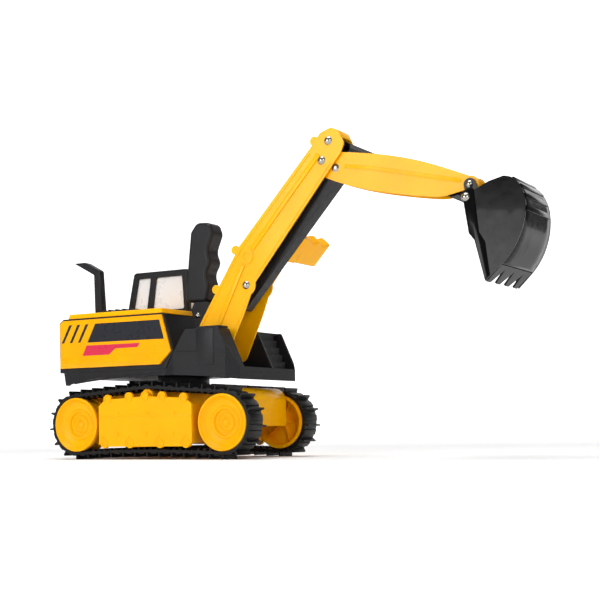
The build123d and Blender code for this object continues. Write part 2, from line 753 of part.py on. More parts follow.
with BuildPart() as cab_frame:
    add(slab(CAB_SIDE, CAB_RIGHT_Y, CAB_LEFT_Y))
    fillet(cab_frame.edges().filter_by(Axis.Y).group_by(Axis.Z)[-1], 4.0)
    fillet(cab_frame.faces().group_by(Axis.Z)[-1].edges().filter_by(Axis.X), 2.5)
    with BuildSketch(at_y(CAB_RIGHT_Y + CAB_WALL)):
        with BuildLine():
            Polyline(*CAB_INSIDE, close=True)
        make_face()
    extrude(amount=CAB_RIGHT_Y - CAB_LEFT_Y + 2 * CAB_WALL, mode=Mode.SUBTRACT)
    for window in (REAR_WINDOW, SIDE_WINDOW):
        add(slab(window, CAB_RIGHT_Y - 1, CAB_LEFT_Y + 1, 2.0), mode=Mode.SUBTRACT)
    with BuildSketch(Plane.YZ.offset(-90.0)):
        with Locations(((CAB_RIGHT_Y + CAB_LEFT_Y) / 2, 173.0)):
            RectangleRounded(38.0, 35.0, 2.5)
    extrude(amount=100.0, mode=Mode.SUBTRACT)

save(cab_frame.part, "cab_frame")

GLASS_GAP = 0.15
glass_right_y = CAB_RIGHT_Y + CAB_WALL + GLASS_GAP
glass_left_y = CAB_LEFT_Y - CAB_WALL - GLASS_GAP
GLASS_SIDE = [(-74.6, HOOD_TOP_Z), (-65.1, 194.7), (0.9, 194.7), (0.9, HOOD_TOP_Z)]
GLASS_INSIDE = [(-73.1, 140.0), (-73.1, HOOD_TOP_Z), (-64.2, 193.5), (-0.3, 193.5), (-0.3, 140.0)]

with BuildPart() as cab_glazing:
    add(slab(GLASS_SIDE, glass_right_y, glass_left_y))
    add(slab(GLASS_INSIDE, glass_right_y + GLASS_THICK, glass_left_y - GLASS_THICK), mode=Mode.SUBTRACT)

save(cab_glazing.part, "cab_glazing")

# ---------------------------------------------------------------- boom

BOOM_RUN = hypot(TOP_PIVOT[0] - FOOT[0], TOP_PIVOT[1] - FOOT[1])
BOOM_DIR = ((TOP_PIVOT[0] - FOOT[0]) / BOOM_RUN, (TOP_PIVOT[1] - FOOT[1]) / BOOM_RUN)
BOOM_TAPER = (FOOT_HALF_Y - TOP_HALF_Y) / BOOM_RUN


def boom_half(point):
    """Half of the boom's outside width at an (x, z) point."""
    along = (point[0] - FOOT[0]) * BOOM_DIR[0] + (point[1] - FOOT[1]) * BOOM_DIR[1]
    return FOOT_HALF_Y - BOOM_TAPER * along


def boom_plane(inset=0.0, side=-1):
    """Plane of one plate's outer face, right side by default. It leans in towards the top."""
    return Plane(
        origin=(FOOT[0], BOOM_Y + side * (FOOT_HALF_Y - inset), FOOT[1]),
        x_dir=(1, -side * BOOM_TAPER * BOOM_DIR[0], 0),
        z_dir=(BOOM_TAPER * BOOM_DIR[0], side, BOOM_TAPER * BOOM_DIR[1]),
    )


# Outline of the boom, as (x, z, corner radius)
BOOM_OUTLINE = [
    (36.5, 119.0, 8.0),
    (49.0, 140.5, 12.0),
    (91.0, 208.5, 14.0),
    (171.0, 296.5, 4.0),
    (181.5, 309.5, 6.0),
    (193.0, 313.5, 6.0),
    (200.5, 310.0, 5.0),
    (207.0, 297.0, 4.0),
    (203.5, 288.5, 8.0),
    (178.0, 257.0, 30.0),
    (109.0, 172.0, 5.0),
    (97.0, 143.0, 10.0),
    (75.0, 98.0, 8.0),
    (55.0, 92.0, 8.0),
    (38.0, 99.0, 8.0),
]
BOOM_EARS = ((175.0, 302.5), (86.5, 205.5), (64.0, 168.0))
EAR_R = 4.4
RING_AT = (100.0, 198.0)


with BuildSketch() as boom_side:
    with BuildLine():
        FilletPolyline(
            *[(x, z) for x, z, _ in BOOM_OUTLINE],
            radius=[radius for _, _, radius in BOOM_OUTLINE],
            close=True,
        )
    make_face()
    with Locations(FOOT):
        Circle(FOOT_R)

with BuildPart() as boom_plate_right:
    with BuildSketch(boom_plane()):
        with Locations((-FOOT[0], -FOOT[1])):
            add(boom_side.sketch)
        with Locations((SLOT_PIVOT[0] - FOOT[0], SLOT_PIVOT[1] - FOOT[1])):
            Circle(10.5)
        for x, z in BOOM_EARS:
            with Locations((x - FOOT[0], z - FOOT[1])):
                Circle(EAR_R)
    extrude(amount=-BOOM_SHEET)
    with BuildSketch(boom_plane()):
        with Locations((RING_AT[0] - FOOT[0], RING_AT[1] - FOOT[1])):
            Circle(7.4)
            Circle(4.2, mode=Mode.SUBTRACT)
    extrude(amount=0.8)
    add(rod(FOOT, FOOT_PIN_R + RUN_FIT, -60, 30), mode=Mode.SUBTRACT)
    add(rod(TOP_PIVOT, RIVET_R, -60, 30), mode=Mode.SUBTRACT)
    add(rod(ELBOW, ELBOW_R, -60, 30), mode=Mode.SUBTRACT)
    add(rod(SLOT_PIVOT, RIVET_R, -60, 30), mode=Mode.SUBTRACT)

save(boom_plate_right.part, "boom_plate_right")
save(across_boom(boom_plate_right.part), "boom_plate_left")

SPINE_THICK = 1.5
# The boom's front and underside are open: everything inside this outline is cut from the spine
OPEN_BELOW_SPINE = [
    (0.0, 80.0),
    (0.0, 136.0),
    (46.0, 140.0),
    (93.0, 205.0),
    (176.0, 295.0),
    (215.0, 306.0),
    (220.0, 80.0),
]

with BuildPart() as boom_spine:
    with BuildSketch(at_y(BOOM_Y - 22)):
        add(boom_side.sketch)
        offset(amount=-SPINE_THICK, mode=Mode.SUBTRACT)
        with BuildLine():
            Polyline(*OPEN_BELOW_SPINE, close=True)
        make_face(mode=Mode.SUBTRACT)
    extrude(amount=-44.0)
    for side in (-1, 1):
        split(bisect_by=boom_plane(BOOM_SHEET, side), keep=Keep.BOTTOM)

save(boom_spine.part, "boom_spine")

FOOT_BUSH_R = 7.0

with BuildPart() as foot_bush:
    bush_half = FOOT_HALF_Y - BOOM_SHEET - 0.5
    add(rod(FOOT, FOOT_BUSH_R, BOOM_Y - bush_half, BOOM_Y + bush_half))
    add(rod(FOOT, FOOT_PIN_R + RUN_FIT, BOOM_Y - bush_half, BOOM_Y + bush_half), mode=Mode.SUBTRACT)

save(foot_bush.part, "foot_bush")

HEAD_CLEAR = 0.16
save(rivet(TOP_PIVOT, boom_half(TOP_PIVOT) + HEAD_CLEAR, RIVET_R), "top_rivet")
save(rivet(ELBOW, boom_half(ELBOW) + HEAD_CLEAR, ELBOW_R), "elbow_rivet")
save(rivet(SLOT_PIVOT, boom_half(SLOT_PIVOT) + HEAD_CLEAR, RIVET_R), "slot_rivet")

# ---------------------------------------------------------------- lifting handle

GRIP_HALF_Y = 11.0
GRIP_LOW_Z = 158.0
GRIP_ROUND = 3.5
# Side of the grip with its finger waves, as (x, z, corner radius)
GRIP_OUTLINE = [
    (21.0, GRIP_LOW_Z, 5.0),
    (25.0, 200.0, 60.0),
    (28.5, 229.0, 7.0),
    (36.0, 238.0, 8.0),
    (52.0, 237.0, 7.0),
    (56.0, 226.0, 8.0),
    (48.5, 208.0, 12.0),
    (53.5, 197.0, 10.0),
    (46.0, 186.0, 12.0),
    (50.0, 174.0, 10.0),
    (46.0, GRIP_LOW_Z, 5.0),
]
GRIP_HOLLOW = [
    (26.5, 162.0),
    (29.5, 200.0),
    (33.0, 228.0),
    (40.0, 233.5),
    (48.0, 232.0),
    (47.0, 208.0),
    (42.0, 186.0),
    (42.5, 162.0),
]
GRIP_HOLLOW_ROUND = 2.5

with BuildSketch() as grip_side:
    with BuildLine():
        FilletPolyline(
            *[(x, z) for x, z, _ in GRIP_OUTLINE],
            radius=[radius for _, _, radius in GRIP_OUTLINE],
            close=True,
        )
    make_face()

with BuildPart() as grip_right:
    with BuildSketch(at_y(BOOM_Y - GRIP_HALF_Y)):
        add(grip_side.sketch)
    extrude(amount=-GRIP_HALF_Y)
    fillet(grip_right.faces().sort_by(Axis.Y)[0].edges(), GRIP_ROUND)
    with BuildSketch(at_y(BOOM_Y - GRIP_HALF_Y + WALL)):
        with BuildLine():
            FilletPolyline(*GRIP_HOLLOW, radius=GRIP_HOLLOW_ROUND, close=True)
        make_face()
    extrude(amount=-GRIP_HALF_Y + WALL, mode=Mode.SUBTRACT)

save(grip_right.part, "handle_shell_right")
save(across_boom(grip_right.part), "handle_shell_left")

BRACKET_HALF_Y = 8.0
BRACKET_SIDE = [
    (30.0, 138.0),
    (27.0, 150.0),
    (32.0, 160.5),
    (44.0, 160.5),
    (51.0, 154.0),
    (66.0, 150.0),
    (60.0, 128.0),
    (46.0, 128.0),
]
BRACKET_ROUND = 4.0
# The bracket stops level with the foot of the grip
ABOVE_BRACKET = [(20.0, GRIP_LOW_Z), (20.0, 170.0), (60.0, 170.0), (60.0, GRIP_LOW_Z)]
HANDLE_RIVET = (35.0, 144.5)

with BuildPart() as handle_bracket:
    add(slab(BRACKET_SIDE, BOOM_Y - BRACKET_HALF_Y, BOOM_Y + BRACKET_HALF_Y, BRACKET_ROUND))
    add(slab(ABOVE_BRACKET, BOOM_Y - 12, BOOM_Y + 12), mode=Mode.SUBTRACT)
    add(rod(HANDLE_RIVET, RIVET_R, BOOM_Y - 10, BOOM_Y + 10), mode=Mode.SUBTRACT)

save(handle_bracket.part, "handle_bracket")
save(rivet(HANDLE_RIVET, BRACKET_HALF_Y, RIVET_R, 3.2), "handle_rivet")

# ---------------------------------------------------------------- stick

STICK_PLATE_IN = STICK_HALF_Y - STICK_SHEET
# Upper and lower edges of the stick's side, as (x, z)
STICK_TOP = [
    (181.0, 292.8),
    (201.0, 289.5),
    (244.0, 282.0),
    (290.0, 269.0),
    (318.0, 258.0),
    (337.0, 250.0),
]
STICK_BELOW = [
    (338.0, 238.5),
    (323.0, 239.0),
    (307.0, 236.5),
    (290.0, 238.0),
    (243.0, 247.5),
    (219.0, 254.0),
    (184.0, 267.5),
]

with BuildSketch() as stick_side:
    with BuildLine():
        Spline(*STICK_TOP)
        Line(STICK_TOP[-1], STICK_BELOW[0])
        Spline(*STICK_BELOW)
        Line(STICK_BELOW[-1], STICK_TOP[0])
    make_face()

with BuildPart() as stick_plate_right:
    with BuildSketch(at_y(BOOM_Y - STICK_HALF_Y)):
        add(stick_side.sketch)
        with Locations(ELBOW):
            Circle(10.0)
        with Locations(BUCKET_PIVOT):
            Circle(8.0)
        with Locations(ELBOW):
            Circle(ELBOW_R + RUN_FIT, mode=Mode.SUBTRACT)
        with Locations(BAR_PIVOT):
            Circle(RIVET_R, mode=Mode.SUBTRACT)
        with Locations(BUCKET_PIVOT):
            Circle(RIVET_R + RUN_FIT, mode=Mode.SUBTRACT)
    extrude(amount=-STICK_SHEET)

save(stick_plate_right.part, "stick_plate_right")
save(across_boom(stick_plate_right.part), "stick_plate_left")

STICK_WEB = 1.4
WEB_LINE = [(252.0, 280.0), (270.0, 275.2), (290.0, 268.8), (305.0, 263.2), (319.0, 257.3)]

with BuildPart() as stick_web:
    with BuildSketch(at_y(BOOM_Y - STICK_PLATE_IN)):
        with BuildLine():
            Spline(*WEB_LINE)
            Line(WEB_LINE[-1], (WEB_LINE[-1][0], WEB_LINE[-1][1] - STICK_WEB))
            Spline(*[(x, z - STICK_WEB) for x, z in reversed(WEB_LINE)])
            Line((WEB_LINE[0][0], WEB_LINE[0][1] - STICK_WEB), WEB_LINE[0])
        make_face()
    extrude(amount=-2 * STICK_PLATE_IN)

save(stick_web.part, "stick_web")
save(rivet(BAR_PIVOT, STICK_HALF_Y, RIVET_R, 4.0, FLAT_HEAD), "bar_rivet")

# ---------------------------------------------------------------- push bar with its grip

BAR_RUN = hypot(BAR_PIVOT[0] - SLOT_PIVOT[0], BAR_PIVOT[1] - SLOT_PIVOT[1])
BAR_ALONG = ((SLOT_PIVOT[0] - BAR_PIVOT[0]) / BAR_RUN, (SLOT_PIVOT[1] - BAR_PIVOT[1]) / BAR_RUN)
BAR_OUT = (-BAR_ALONG[1], BAR_ALONG[0])
SLOT_UP = 8.5
SLOT_DOWN = 4.0
SLOT_HALF = RIVET_R + 1.0


def on_bar(along, out):
    """(x, z) of a point this far down the bar from its pivot, and this far out to the front."""
    return (
        BAR_PIVOT[0] + along * BAR_ALONG[0] + out * BAR_OUT[0],
        BAR_PIVOT[1] + along * BAR_ALONG[1] + out * BAR_OUT[1],
    )


def bar_block(start, end, back, front, y_low, y_high, radius=0.0):
    """Block along the push bar."""
    corners = [on_bar(start, back), on_bar(end, back), on_bar(end, front), on_bar(start, front)]
    return slab(corners, y_low, y_high, radius)


bar_end = BAR_RUN + BAR_TAIL
bar_right, bar_left = BOOM_Y - BAR_HALF_Y, BOOM_Y + BAR_HALF_Y
cut_right, cut_left = BOOM_Y - 20, BOOM_Y + 20
slot_start = BAR_RUN - SLOT_UP - SLOT_HALF
slot_end = BAR_RUN + SLOT_DOWN + SLOT_HALF
channel = bar_block(
    -20, bar_end + 5, -BAR_BACK - 1, BAR_FRONT - BAR_SHEET, bar_right + BAR_SHEET, bar_left - BAR_SHEET
)

with BuildPart() as push_bar:
    add(bar_block(-BAR_BACK, bar_end, -BAR_BACK, BAR_FRONT, bar_right, bar_left, 3.0))
    add(channel, mode=Mode.SUBTRACT)
    add(bar_block(-20, 6, 4, 20, cut_right, cut_left), mode=Mode.SUBTRACT)
    add(rod(BAR_PIVOT, RIVET_R + RUN_FIT, cut_right, cut_left), mode=Mode.SUBTRACT)
    add(
        bar_block(slot_start, slot_end, -SLOT_HALF, SLOT_HALF, cut_right, cut_left, SLOT_HALF - 0.1),
        mode=Mode.SUBTRACT,
    )

save(push_bar.part, "push_bar")

HAND_START = 74.5
HAND_END = 103.5
HAND_LEFT_Y = 45.0
HAND_ROOT_Y = 3.5

with BuildPart() as hand_grip:
    add(bar_block(HAND_START, HAND_END, -3.0, BAR_FRONT, HAND_ROOT_Y, HAND_LEFT_Y, 3.0))
    add(bar_block(HAND_START, HAND_END, BAR_FRONT - 4.0, BAR_FRONT, bar_left, HAND_ROOT_Y + 1, 0.8))

save(hand_grip.part, "push_bar_grip")

# ---------------------------------------------------------------- bucket link

LINK_RUN = hypot(LINK_PIVOT[0] - TOP_PIVOT[0], LINK_PIVOT[1] - TOP_PIVOT[1])
LINK_ALONG = ((LINK_PIVOT[0] - TOP_PIVOT[0]) / LINK_RUN, (LINK_PIVOT[1] - TOP_PIVOT[1]) / LINK_RUN)


def on_link(along, up):
    """(x, z) of a point this far along the link from its top pivot, and this far above its line."""
    return (
        TOP_PIVOT[0] + along * LINK_ALONG[0] - up * LINK_ALONG[1],
        TOP_PIVOT[1] + along * LINK_ALONG[1] + up * LINK_ALONG[0],
    )


link_corners = [
    on_link(0, -LINK_HALF_HEIGHT),
    on_link(0, LINK_HALF_HEIGHT),
    on_link(LINK_RUN, LINK_HALF_HEIGHT),
    on_link(LINK_RUN, -LINK_HALF_HEIGHT),
]
channel_corners = [
    on_link(LINK_SOLID_END, -LINK_HALF_HEIGHT - 1),
    on_link(LINK_SOLID_END, LINK_HALF_HEIGHT - LINK_SHEET),
    on_link(LINK_RUN - LINK_SOLID_END, LINK_HALF_HEIGHT - LINK_SHEET),
    on_link(LINK_RUN - LINK_SOLID_END, -LINK_HALF_HEIGHT - 1),
]

with BuildPart() as bucket_link:
    add(slab(link_corners, BOOM_Y - LINK_HALF_Y, BOOM_Y + LINK_HALF_Y))
    add(rod(TOP_PIVOT, LINK_HALF_HEIGHT, BOOM_Y - LINK_HALF_Y, BOOM_Y + LINK_HALF_Y))
    add(rod(LINK_PIVOT, LINK_EYE_R + 2.4, BOOM_Y - LINK_HALF_Y, BOOM_Y + LINK_HALF_Y))
    add(rod(TOP_PIVOT, RIVET_R + RUN_FIT, BOOM_Y - 10, BOOM_Y + 10), mode=Mode.SUBTRACT)
    add(rod(LINK_PIVOT, LINK_EYE_R, BOOM_Y - 10, BOOM_Y + 10), mode=Mode.SUBTRACT)
    channel_half = LINK_HALF_Y - LINK_SHEET
    add(slab(channel_corners, BOOM_Y - channel_half, BOOM_Y + channel_half), mode=Mode.SUBTRACT)

save(bucket_link.part, "bucket_link")

# ---------------------------------------------------------------- bucket


def bucket_half(z):
    """Half of the bucket's width at this height. It widens towards the teeth."""
    return BUCKET_TOP_HALF_Y + BUCKET_FLARE * (BUCKET_TOP_Z - z)


def bucket_plane(side, inset=0.0):
    """Outer face of one side plate."""
    return Plane(
        origin=(0, BOOM_Y + side * (bucket_half(0) - inset), 0),
        x_dir=(1, 0, 0),
        z_dir=(0, side, BUCKET_FLARE),
    )


# Side of the bucket from the cutting edge round its back, top and front, as (x, z)
BACK_CURVE = [LIP, (385.0, 183.5), (392.0, 206.0), (390.5, 227.0), (381.5, 240.5), (371.0, 244.5)]
TOP_LINE = [(371.0, 244.5), (358.0, 241.3), (345.0, 235.2)]
FRONT_LINE = [(345.0, 235.2), (341.5, 238.5), (333.0, 234.5), (341.5, 196.5), (347.0, 190.0), TOOTH_TIP]

with BuildSketch() as bucket_side:
    with BuildLine():
        Spline(*BACK_CURVE)
        Polyline(*TOP_LINE)
        Polyline(*FRONT_LINE, BACK_CURVE[0])
    make_face()

with BuildPart() as bucket_side_right:
    with BuildSketch(at_y(BOOM_Y - 50)):
        add(bucket_side.sketch)
        with Locations(LINK_PIVOT):
            Circle(RIVET_R, mode=Mode.SUBTRACT)
    extrude(amount=-50)
    split(bisect_by=bucket_plane(-1), keep=Keep.BOTTOM)
    split(bisect_by=bucket_plane(-1, BUCKET_SHEET), keep=Keep.TOP)

save(bucket_side_right.part, "bucket_side_right")
save(across_boom(bucket_side_right.part), "bucket_side_left")

BACK_INSIDE = [
    (371.3, 168.0),
    (383.2, 184.5),
    (390.1, 206.0),
    (388.7, 226.0),
    (380.4, 238.6),
    (370.8, 242.4),
]

with BuildPart() as bucket_shell:
    with BuildSketch(at_y(BOOM_Y - 50)):
        with BuildLine():
            Spline(*BACK_CURVE)
            Polyline(*TOP_LINE, (346.6, 233.6), (358.6, 239.3), BACK_INSIDE[-1])
            Spline(*reversed(BACK_INSIDE))
            Line(BACK_INSIDE[0], BACK_CURVE[0])
        make_face()
    extrude(amount=-100)
    for side in (-1, 1):
        split(bisect_by=bucket_plane(side, BUCKET_SHEET), keep=Keep.BOTTOM)

save(bucket_shell.part, "bucket_shell")

TOOTH_COUNT = 4
TOOTH_ROOT_HALF = 10.8
TOOTH_TIP_HALF = 4.6
TOOTH_ROOT = 4.5
EDGE_GAP = 0.55
EDGE_THICK = 1.8
TOOTH_RUN = hypot(LIP[0] - TOOTH_TIP[0], LIP[1] - TOOTH_TIP[1])
EDGE_DOWN = ((TOOTH_TIP[0] - LIP[0]) / TOOTH_RUN, (TOOTH_TIP[1] - LIP[1]) / TOOTH_RUN)
edge_half = bucket_half(LIP[1]) - BUCKET_SHEET - 0.6
edge_start = (LIP[0] + EDGE_GAP * EDGE_DOWN[0], BOOM_Y, LIP[1] + EDGE_GAP * EDGE_DOWN[1])
tooth_pitch = (2 * edge_half - 2 * TOOTH_TIP_HALF) / (TOOTH_COUNT - 1)

with BuildPart() as bucket_teeth:
    with BuildSketch(Plane(origin=edge_start, x_dir=(0, 1, 0), z_dir=(EDGE_DOWN[1], 0, -EDGE_DOWN[0]))):
        Rectangle(2 * edge_half, TOOTH_ROOT, align=(Align.CENTER, Align.MIN))
        for tooth in range(TOOTH_COUNT):
            middle = -edge_half + TOOTH_TIP_HALF + tooth * tooth_pitch
            low = max(middle - TOOTH_ROOT_HALF, -edge_half)
            high = min(middle + TOOTH_ROOT_HALF, edge_half)
            with BuildLine():
                Polyline(
                    (low, TOOTH_ROOT - 0.5),
                    (high, TOOTH_ROOT - 0.5),
                    (middle + TOOTH_TIP_HALF, TOOTH_RUN),
                    (middle - TOOTH_TIP_HALF, TOOTH_RUN),
                    close=True,
                )
            make_face()
    extrude(amount=EDGE_THICK)

save(bucket_teeth.part, "bucket_teeth")

EAR_IN_Y = 9.3
EAR_OUT_Y = 11.3
EAR_ROUND = 5.6
EAR_SIDE = [
    (327.5, 243.0),
    (333.0, 249.5),
    (339.0, 244.5),
    (343.0, 233.0),
    (346.8, 233.3),
    (356.5, 237.9),
    (357.1, 236.5),
    (350.0, 229.0),
    (343.0, 226.0),
    (336.0, 223.4),
    (331.0, 228.0),
]
# Strip under the bucket's top that joins the two ears
BRACKET_STRIP = [(346.8, 233.3), (356.5, 237.9), (357.1, 236.5), (347.4, 231.9)]

with BuildPart() as bucket_bracket:
    for low_y in (BOOM_Y - EAR_OUT_Y, BOOM_Y + EAR_IN_Y):
        with BuildSketch(at_y(low_y)):
            with BuildLine():
                Polyline(*EAR_SIDE, close=True)
            make_face()
            with Locations(BUCKET_PIVOT, LINK_PIVOT):
                Circle(EAR_ROUND)
                Circle(RIVET_R, mode=Mode.SUBTRACT)
        extrude(amount=EAR_IN_Y - EAR_OUT_Y)
    add(slab(BRACKET_STRIP, BOOM_Y - EAR_OUT_Y, BOOM_Y + EAR_OUT_Y))

save(bucket_bracket.part, "bucket_bracket")
save(rivet(BUCKET_PIVOT, EAR_OUT_Y, RIVET_R, 3.6), "bucket_rivet")
save(rivet(LINK_PIVOT, bucket_half(LINK_PIVOT[1]) + 0.7, RIVET_R, 4.0), "link_rivet")
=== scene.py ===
"""Toy excavator: finishes, fine detail, light and camera round its fixed frame."""

import json
from math import acos, atan2, cos, degrees, hypot, pi, radians, sin

import bmesh
import bpy
from mathutils import Matrix, Vector


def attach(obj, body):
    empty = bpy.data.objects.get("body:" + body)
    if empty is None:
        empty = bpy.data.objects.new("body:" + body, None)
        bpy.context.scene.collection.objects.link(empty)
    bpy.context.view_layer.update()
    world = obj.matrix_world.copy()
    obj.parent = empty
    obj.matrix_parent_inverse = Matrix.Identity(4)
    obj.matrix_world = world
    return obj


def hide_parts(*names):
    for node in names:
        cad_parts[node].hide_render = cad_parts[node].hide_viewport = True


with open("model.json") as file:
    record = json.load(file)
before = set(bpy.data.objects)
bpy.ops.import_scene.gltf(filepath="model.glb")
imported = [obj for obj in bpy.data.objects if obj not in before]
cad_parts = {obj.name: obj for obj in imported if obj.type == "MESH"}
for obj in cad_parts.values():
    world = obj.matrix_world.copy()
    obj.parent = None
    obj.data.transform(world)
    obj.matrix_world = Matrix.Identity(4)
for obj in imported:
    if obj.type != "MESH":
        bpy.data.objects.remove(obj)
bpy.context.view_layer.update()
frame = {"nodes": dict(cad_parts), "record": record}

bl_info = {
    "name": "Toy Excavator",
    "version": (1, 0, 0),
    "blender": (4, 5, 0),
    "location": "View3D > Sidebar > Excavator",
    "description": "Adds the finishes, treads, ribs and stage of a toy excavator",
    "category": "Add Mesh",
}

MM = 0.001

# Where things stand, in millimetres, as in the frame
BOOM_Y = -14.5
FOOT = (55.0, 109.5)
TOP_PIVOT = (190.0, 301.0)
FOOT_HALF_Y = 19.6
TOP_HALF_Y = 11.2
WHEEL_X = 90.5
HUB_Z = 35.8
BELT_IN_R = 28.3
BELT_THICK = 3.0
ROLLER_Z = 63.5
ROLLER_IN_R = 7.3
LOWER_RISE = 2.4
LEAVE_ANGLE = 3.0
BELT_IN_Y = 40.5
BELT_OUT_Y = 65.0
FIN_COUNT = 37
BUCKET_HALF_Y = 28.0
BUCKET_TOP_Z = 243.0
BUCKET_FLARE = 0.15
BAR_PIVOT = (196.0, 275.0)
SLOT_PIVOT = (99.0, 170.0)
STICK_HALF_Y = 8.5
CHEEK_HALF_Y = 59.5
HOUSE_HALF_Y = 57.6
COVER_FACE_Y = 68.4


# ---------------------------------------------------------------- small tools


def sides():
    """Right side, then left side: its name and its sign along Y."""
    return (("right", -1), ("left", 1))


def deselect():
    """Leave edit mode and select nothing."""
    if bpy.context.object and bpy.context.object.mode == "EDIT":
        bpy.ops.object.mode_set(mode="OBJECT")
    bpy.ops.object.select_all(action="DESELECT")


def make_active(piece):
    """Select one piece alone and make it the active one."""
    deselect()
    piece.select_set(True)
    bpy.context.view_layer.objects.active = piece


def block(name, low, high):
    """Box between two corners in millimetres, as a start for a piece."""
    deselect()
    centre = [(a + b) / 2 * MM for a, b in zip(low, high)]
    bpy.ops.mesh.primitive_cube_add(size=1, location=centre)
    piece = bpy.context.object
    piece.name = name
    piece.scale = [(b - a) * MM for a, b in zip(low, high)]
    bpy.ops.object.transform_apply(location=True, rotation=True, scale=True)
    return piece


def pick_edges(piece, wanted):
    """Go into edit mode with just the edges chosen by a test on their middle and direction."""
    make_active(piece)
    bpy.ops.object.mode_set(mode="EDIT")
    bpy.ops.mesh.select_mode(type="EDGE")
    bpy.ops.mesh.select_all(action="DESELECT")
    mesh = bmesh.from_edit_mesh(piece.data)
    for edge in mesh.edges:
        a, b = (v.co for v in edge.verts)
        edge.select = wanted((a + b) / 2 / MM, (b - a).normalized())
    mesh.select_flush_mode()
    bmesh.update_edit_mesh(piece.data)


def pick_faces(piece, wanted):
    """Go into edit mode with just the faces chosen by a test on their middle and normal."""
    make_active(piece)
    bpy.ops.object.mode_set(mode="EDIT")
    bpy.ops.mesh.select_mode(type="FACE")
    bpy.ops.mesh.select_all(action="DESELECT")
    mesh = bmesh.from_edit_mesh(piece.data)
    for face in mesh.faces:
        face.select = wanted(face.calc_center_median() / MM, face.normal)
    mesh.select_flush_mode()
    bmesh.update_edit_mesh(piece.data)


def bevel_edges(piece, wanted, width, segments=2):
    """Round the chosen edges."""
    pick_edges(piece, wanted)
    bpy.ops.mesh.bevel(offset=width * MM, segments=segments, affect="EDGES")
    bpy.ops.object.mode_set(mode="OBJECT")


def place(piece, matrix):
    """Move a piece's mesh by a matrix and leave its object at the origin."""
    piece.data.transform(matrix)
    piece.data.update()


def joined(name, copies):
    """One piece made of all these copies."""
    deselect()
    for copy in copies:
        copy.select_set(True)
    bpy.context.view_layer.objects.active = copies[0]
    bpy.ops.object.join()
    piece = bpy.context.object
    piece.name = name
    return piece


def copy_of(piece, matrix):
    """A copy with its own mesh, moved by a matrix."""
    twin = piece.copy()
    twin.data = piece.data.copy()
    bpy.context.collection.objects.link(twin)
    place(twin, matrix)
    return twin


def plate(name, outline, low_y, high_y):
    """Flat plate with an (x, z) outline between two y values, from a filled circle pulled to shape."""
    deselect()
    bpy.ops.mesh.primitive_circle_add(vertices=len(outline), fill_type="NGON")
    piece = bpy.context.object
    piece.name = name
    for vertex, (x, z) in zip(piece.data.vertices, outline):
        vertex.co = Vector((x, low_y, z)) * MM
    pick_faces(piece, lambda middle, normal: True)
    bpy.ops.mesh.extrude_region_move(TRANSFORM_OT_translate={"value": (0, (high_y - low_y) * MM, 0)})
    bpy.ops.object.mode_set(mode="OBJECT")
    return piece


def strip(points, width):
    """Outline of a band of this width along a line of (x, z) points."""
    left, right = [], []
    for index, (x, z) in enumerate(points):
        before = points[max(index - 1, 0)]
        after = points[min(index + 1, len(points) - 1)]
        run = hypot(after[0] - before[0], after[1] - before[1])
        across = (-(after[1] - before[1]) / run * width / 2, (after[0] - before[0]) / run * width / 2)
        left.append((x + across[0], z + across[1]))
        right.append((x - across[0], z - across[1]))
    return left + right[::-1]


def round_edges(piece, width, segments=2, angle=35.0):
    """Bevel every edge sharper than an angle and keep the result."""
    make_active(piece)
    bevel = piece.modifiers.new("Bevel", "BEVEL")
    bevel.width = width * MM
    bevel.segments = segments
    bevel.limit_method = "ANGLE"
    bevel.angle_limit = radians(angle)
    bpy.ops.object.modifier_apply(modifier="Bevel")


def onto_side(side, middle_y, half, per_x=0.0, per_z=0.0):
    """Matrix that lays a piece's y = 0 on one side of something whose half width changes evenly."""
    return Matrix(
        (
            (1, 0, 0, 0),
            (side * per_x, side, side * per_z, (middle_y + side * half) * MM),
            (0, 0, 1, 0),
            (0, 0, 0, 1),
        )
    )


BOOM_RUN = hypot(TOP_PIVOT[0] - FOOT[0], TOP_PIVOT[1] - FOOT[1])
BOOM_LEAN_X = (FOOT_HALF_Y - TOP_HALF_Y) * (TOP_PIVOT[0] - FOOT[0]) / BOOM_RUN**2
BOOM_LEAN_Z = (FOOT_HALF_Y - TOP_HALF_Y) * (TOP_PIVOT[1] - FOOT[1]) / BOOM_RUN**2


def onto_boom(side):
    """Outer face of one boom plate. The plates lean in towards the top."""
    half = FOOT_HALF_Y + BOOM_LEAN_X * FOOT[0] + BOOM_LEAN_Z * FOOT[1]
    return onto_side(side, BOOM_Y, half, -BOOM_LEAN_X, -BOOM_LEAN_Z)


def onto_bucket(side):
    """Outer face of one bucket side, which flares towards the teeth."""
    half = BUCKET_HALF_Y + BUCKET_FLARE * BUCKET_TOP_Z
    return onto_side(side, BOOM_Y, half, 0.0, -BUCKET_FLARE)


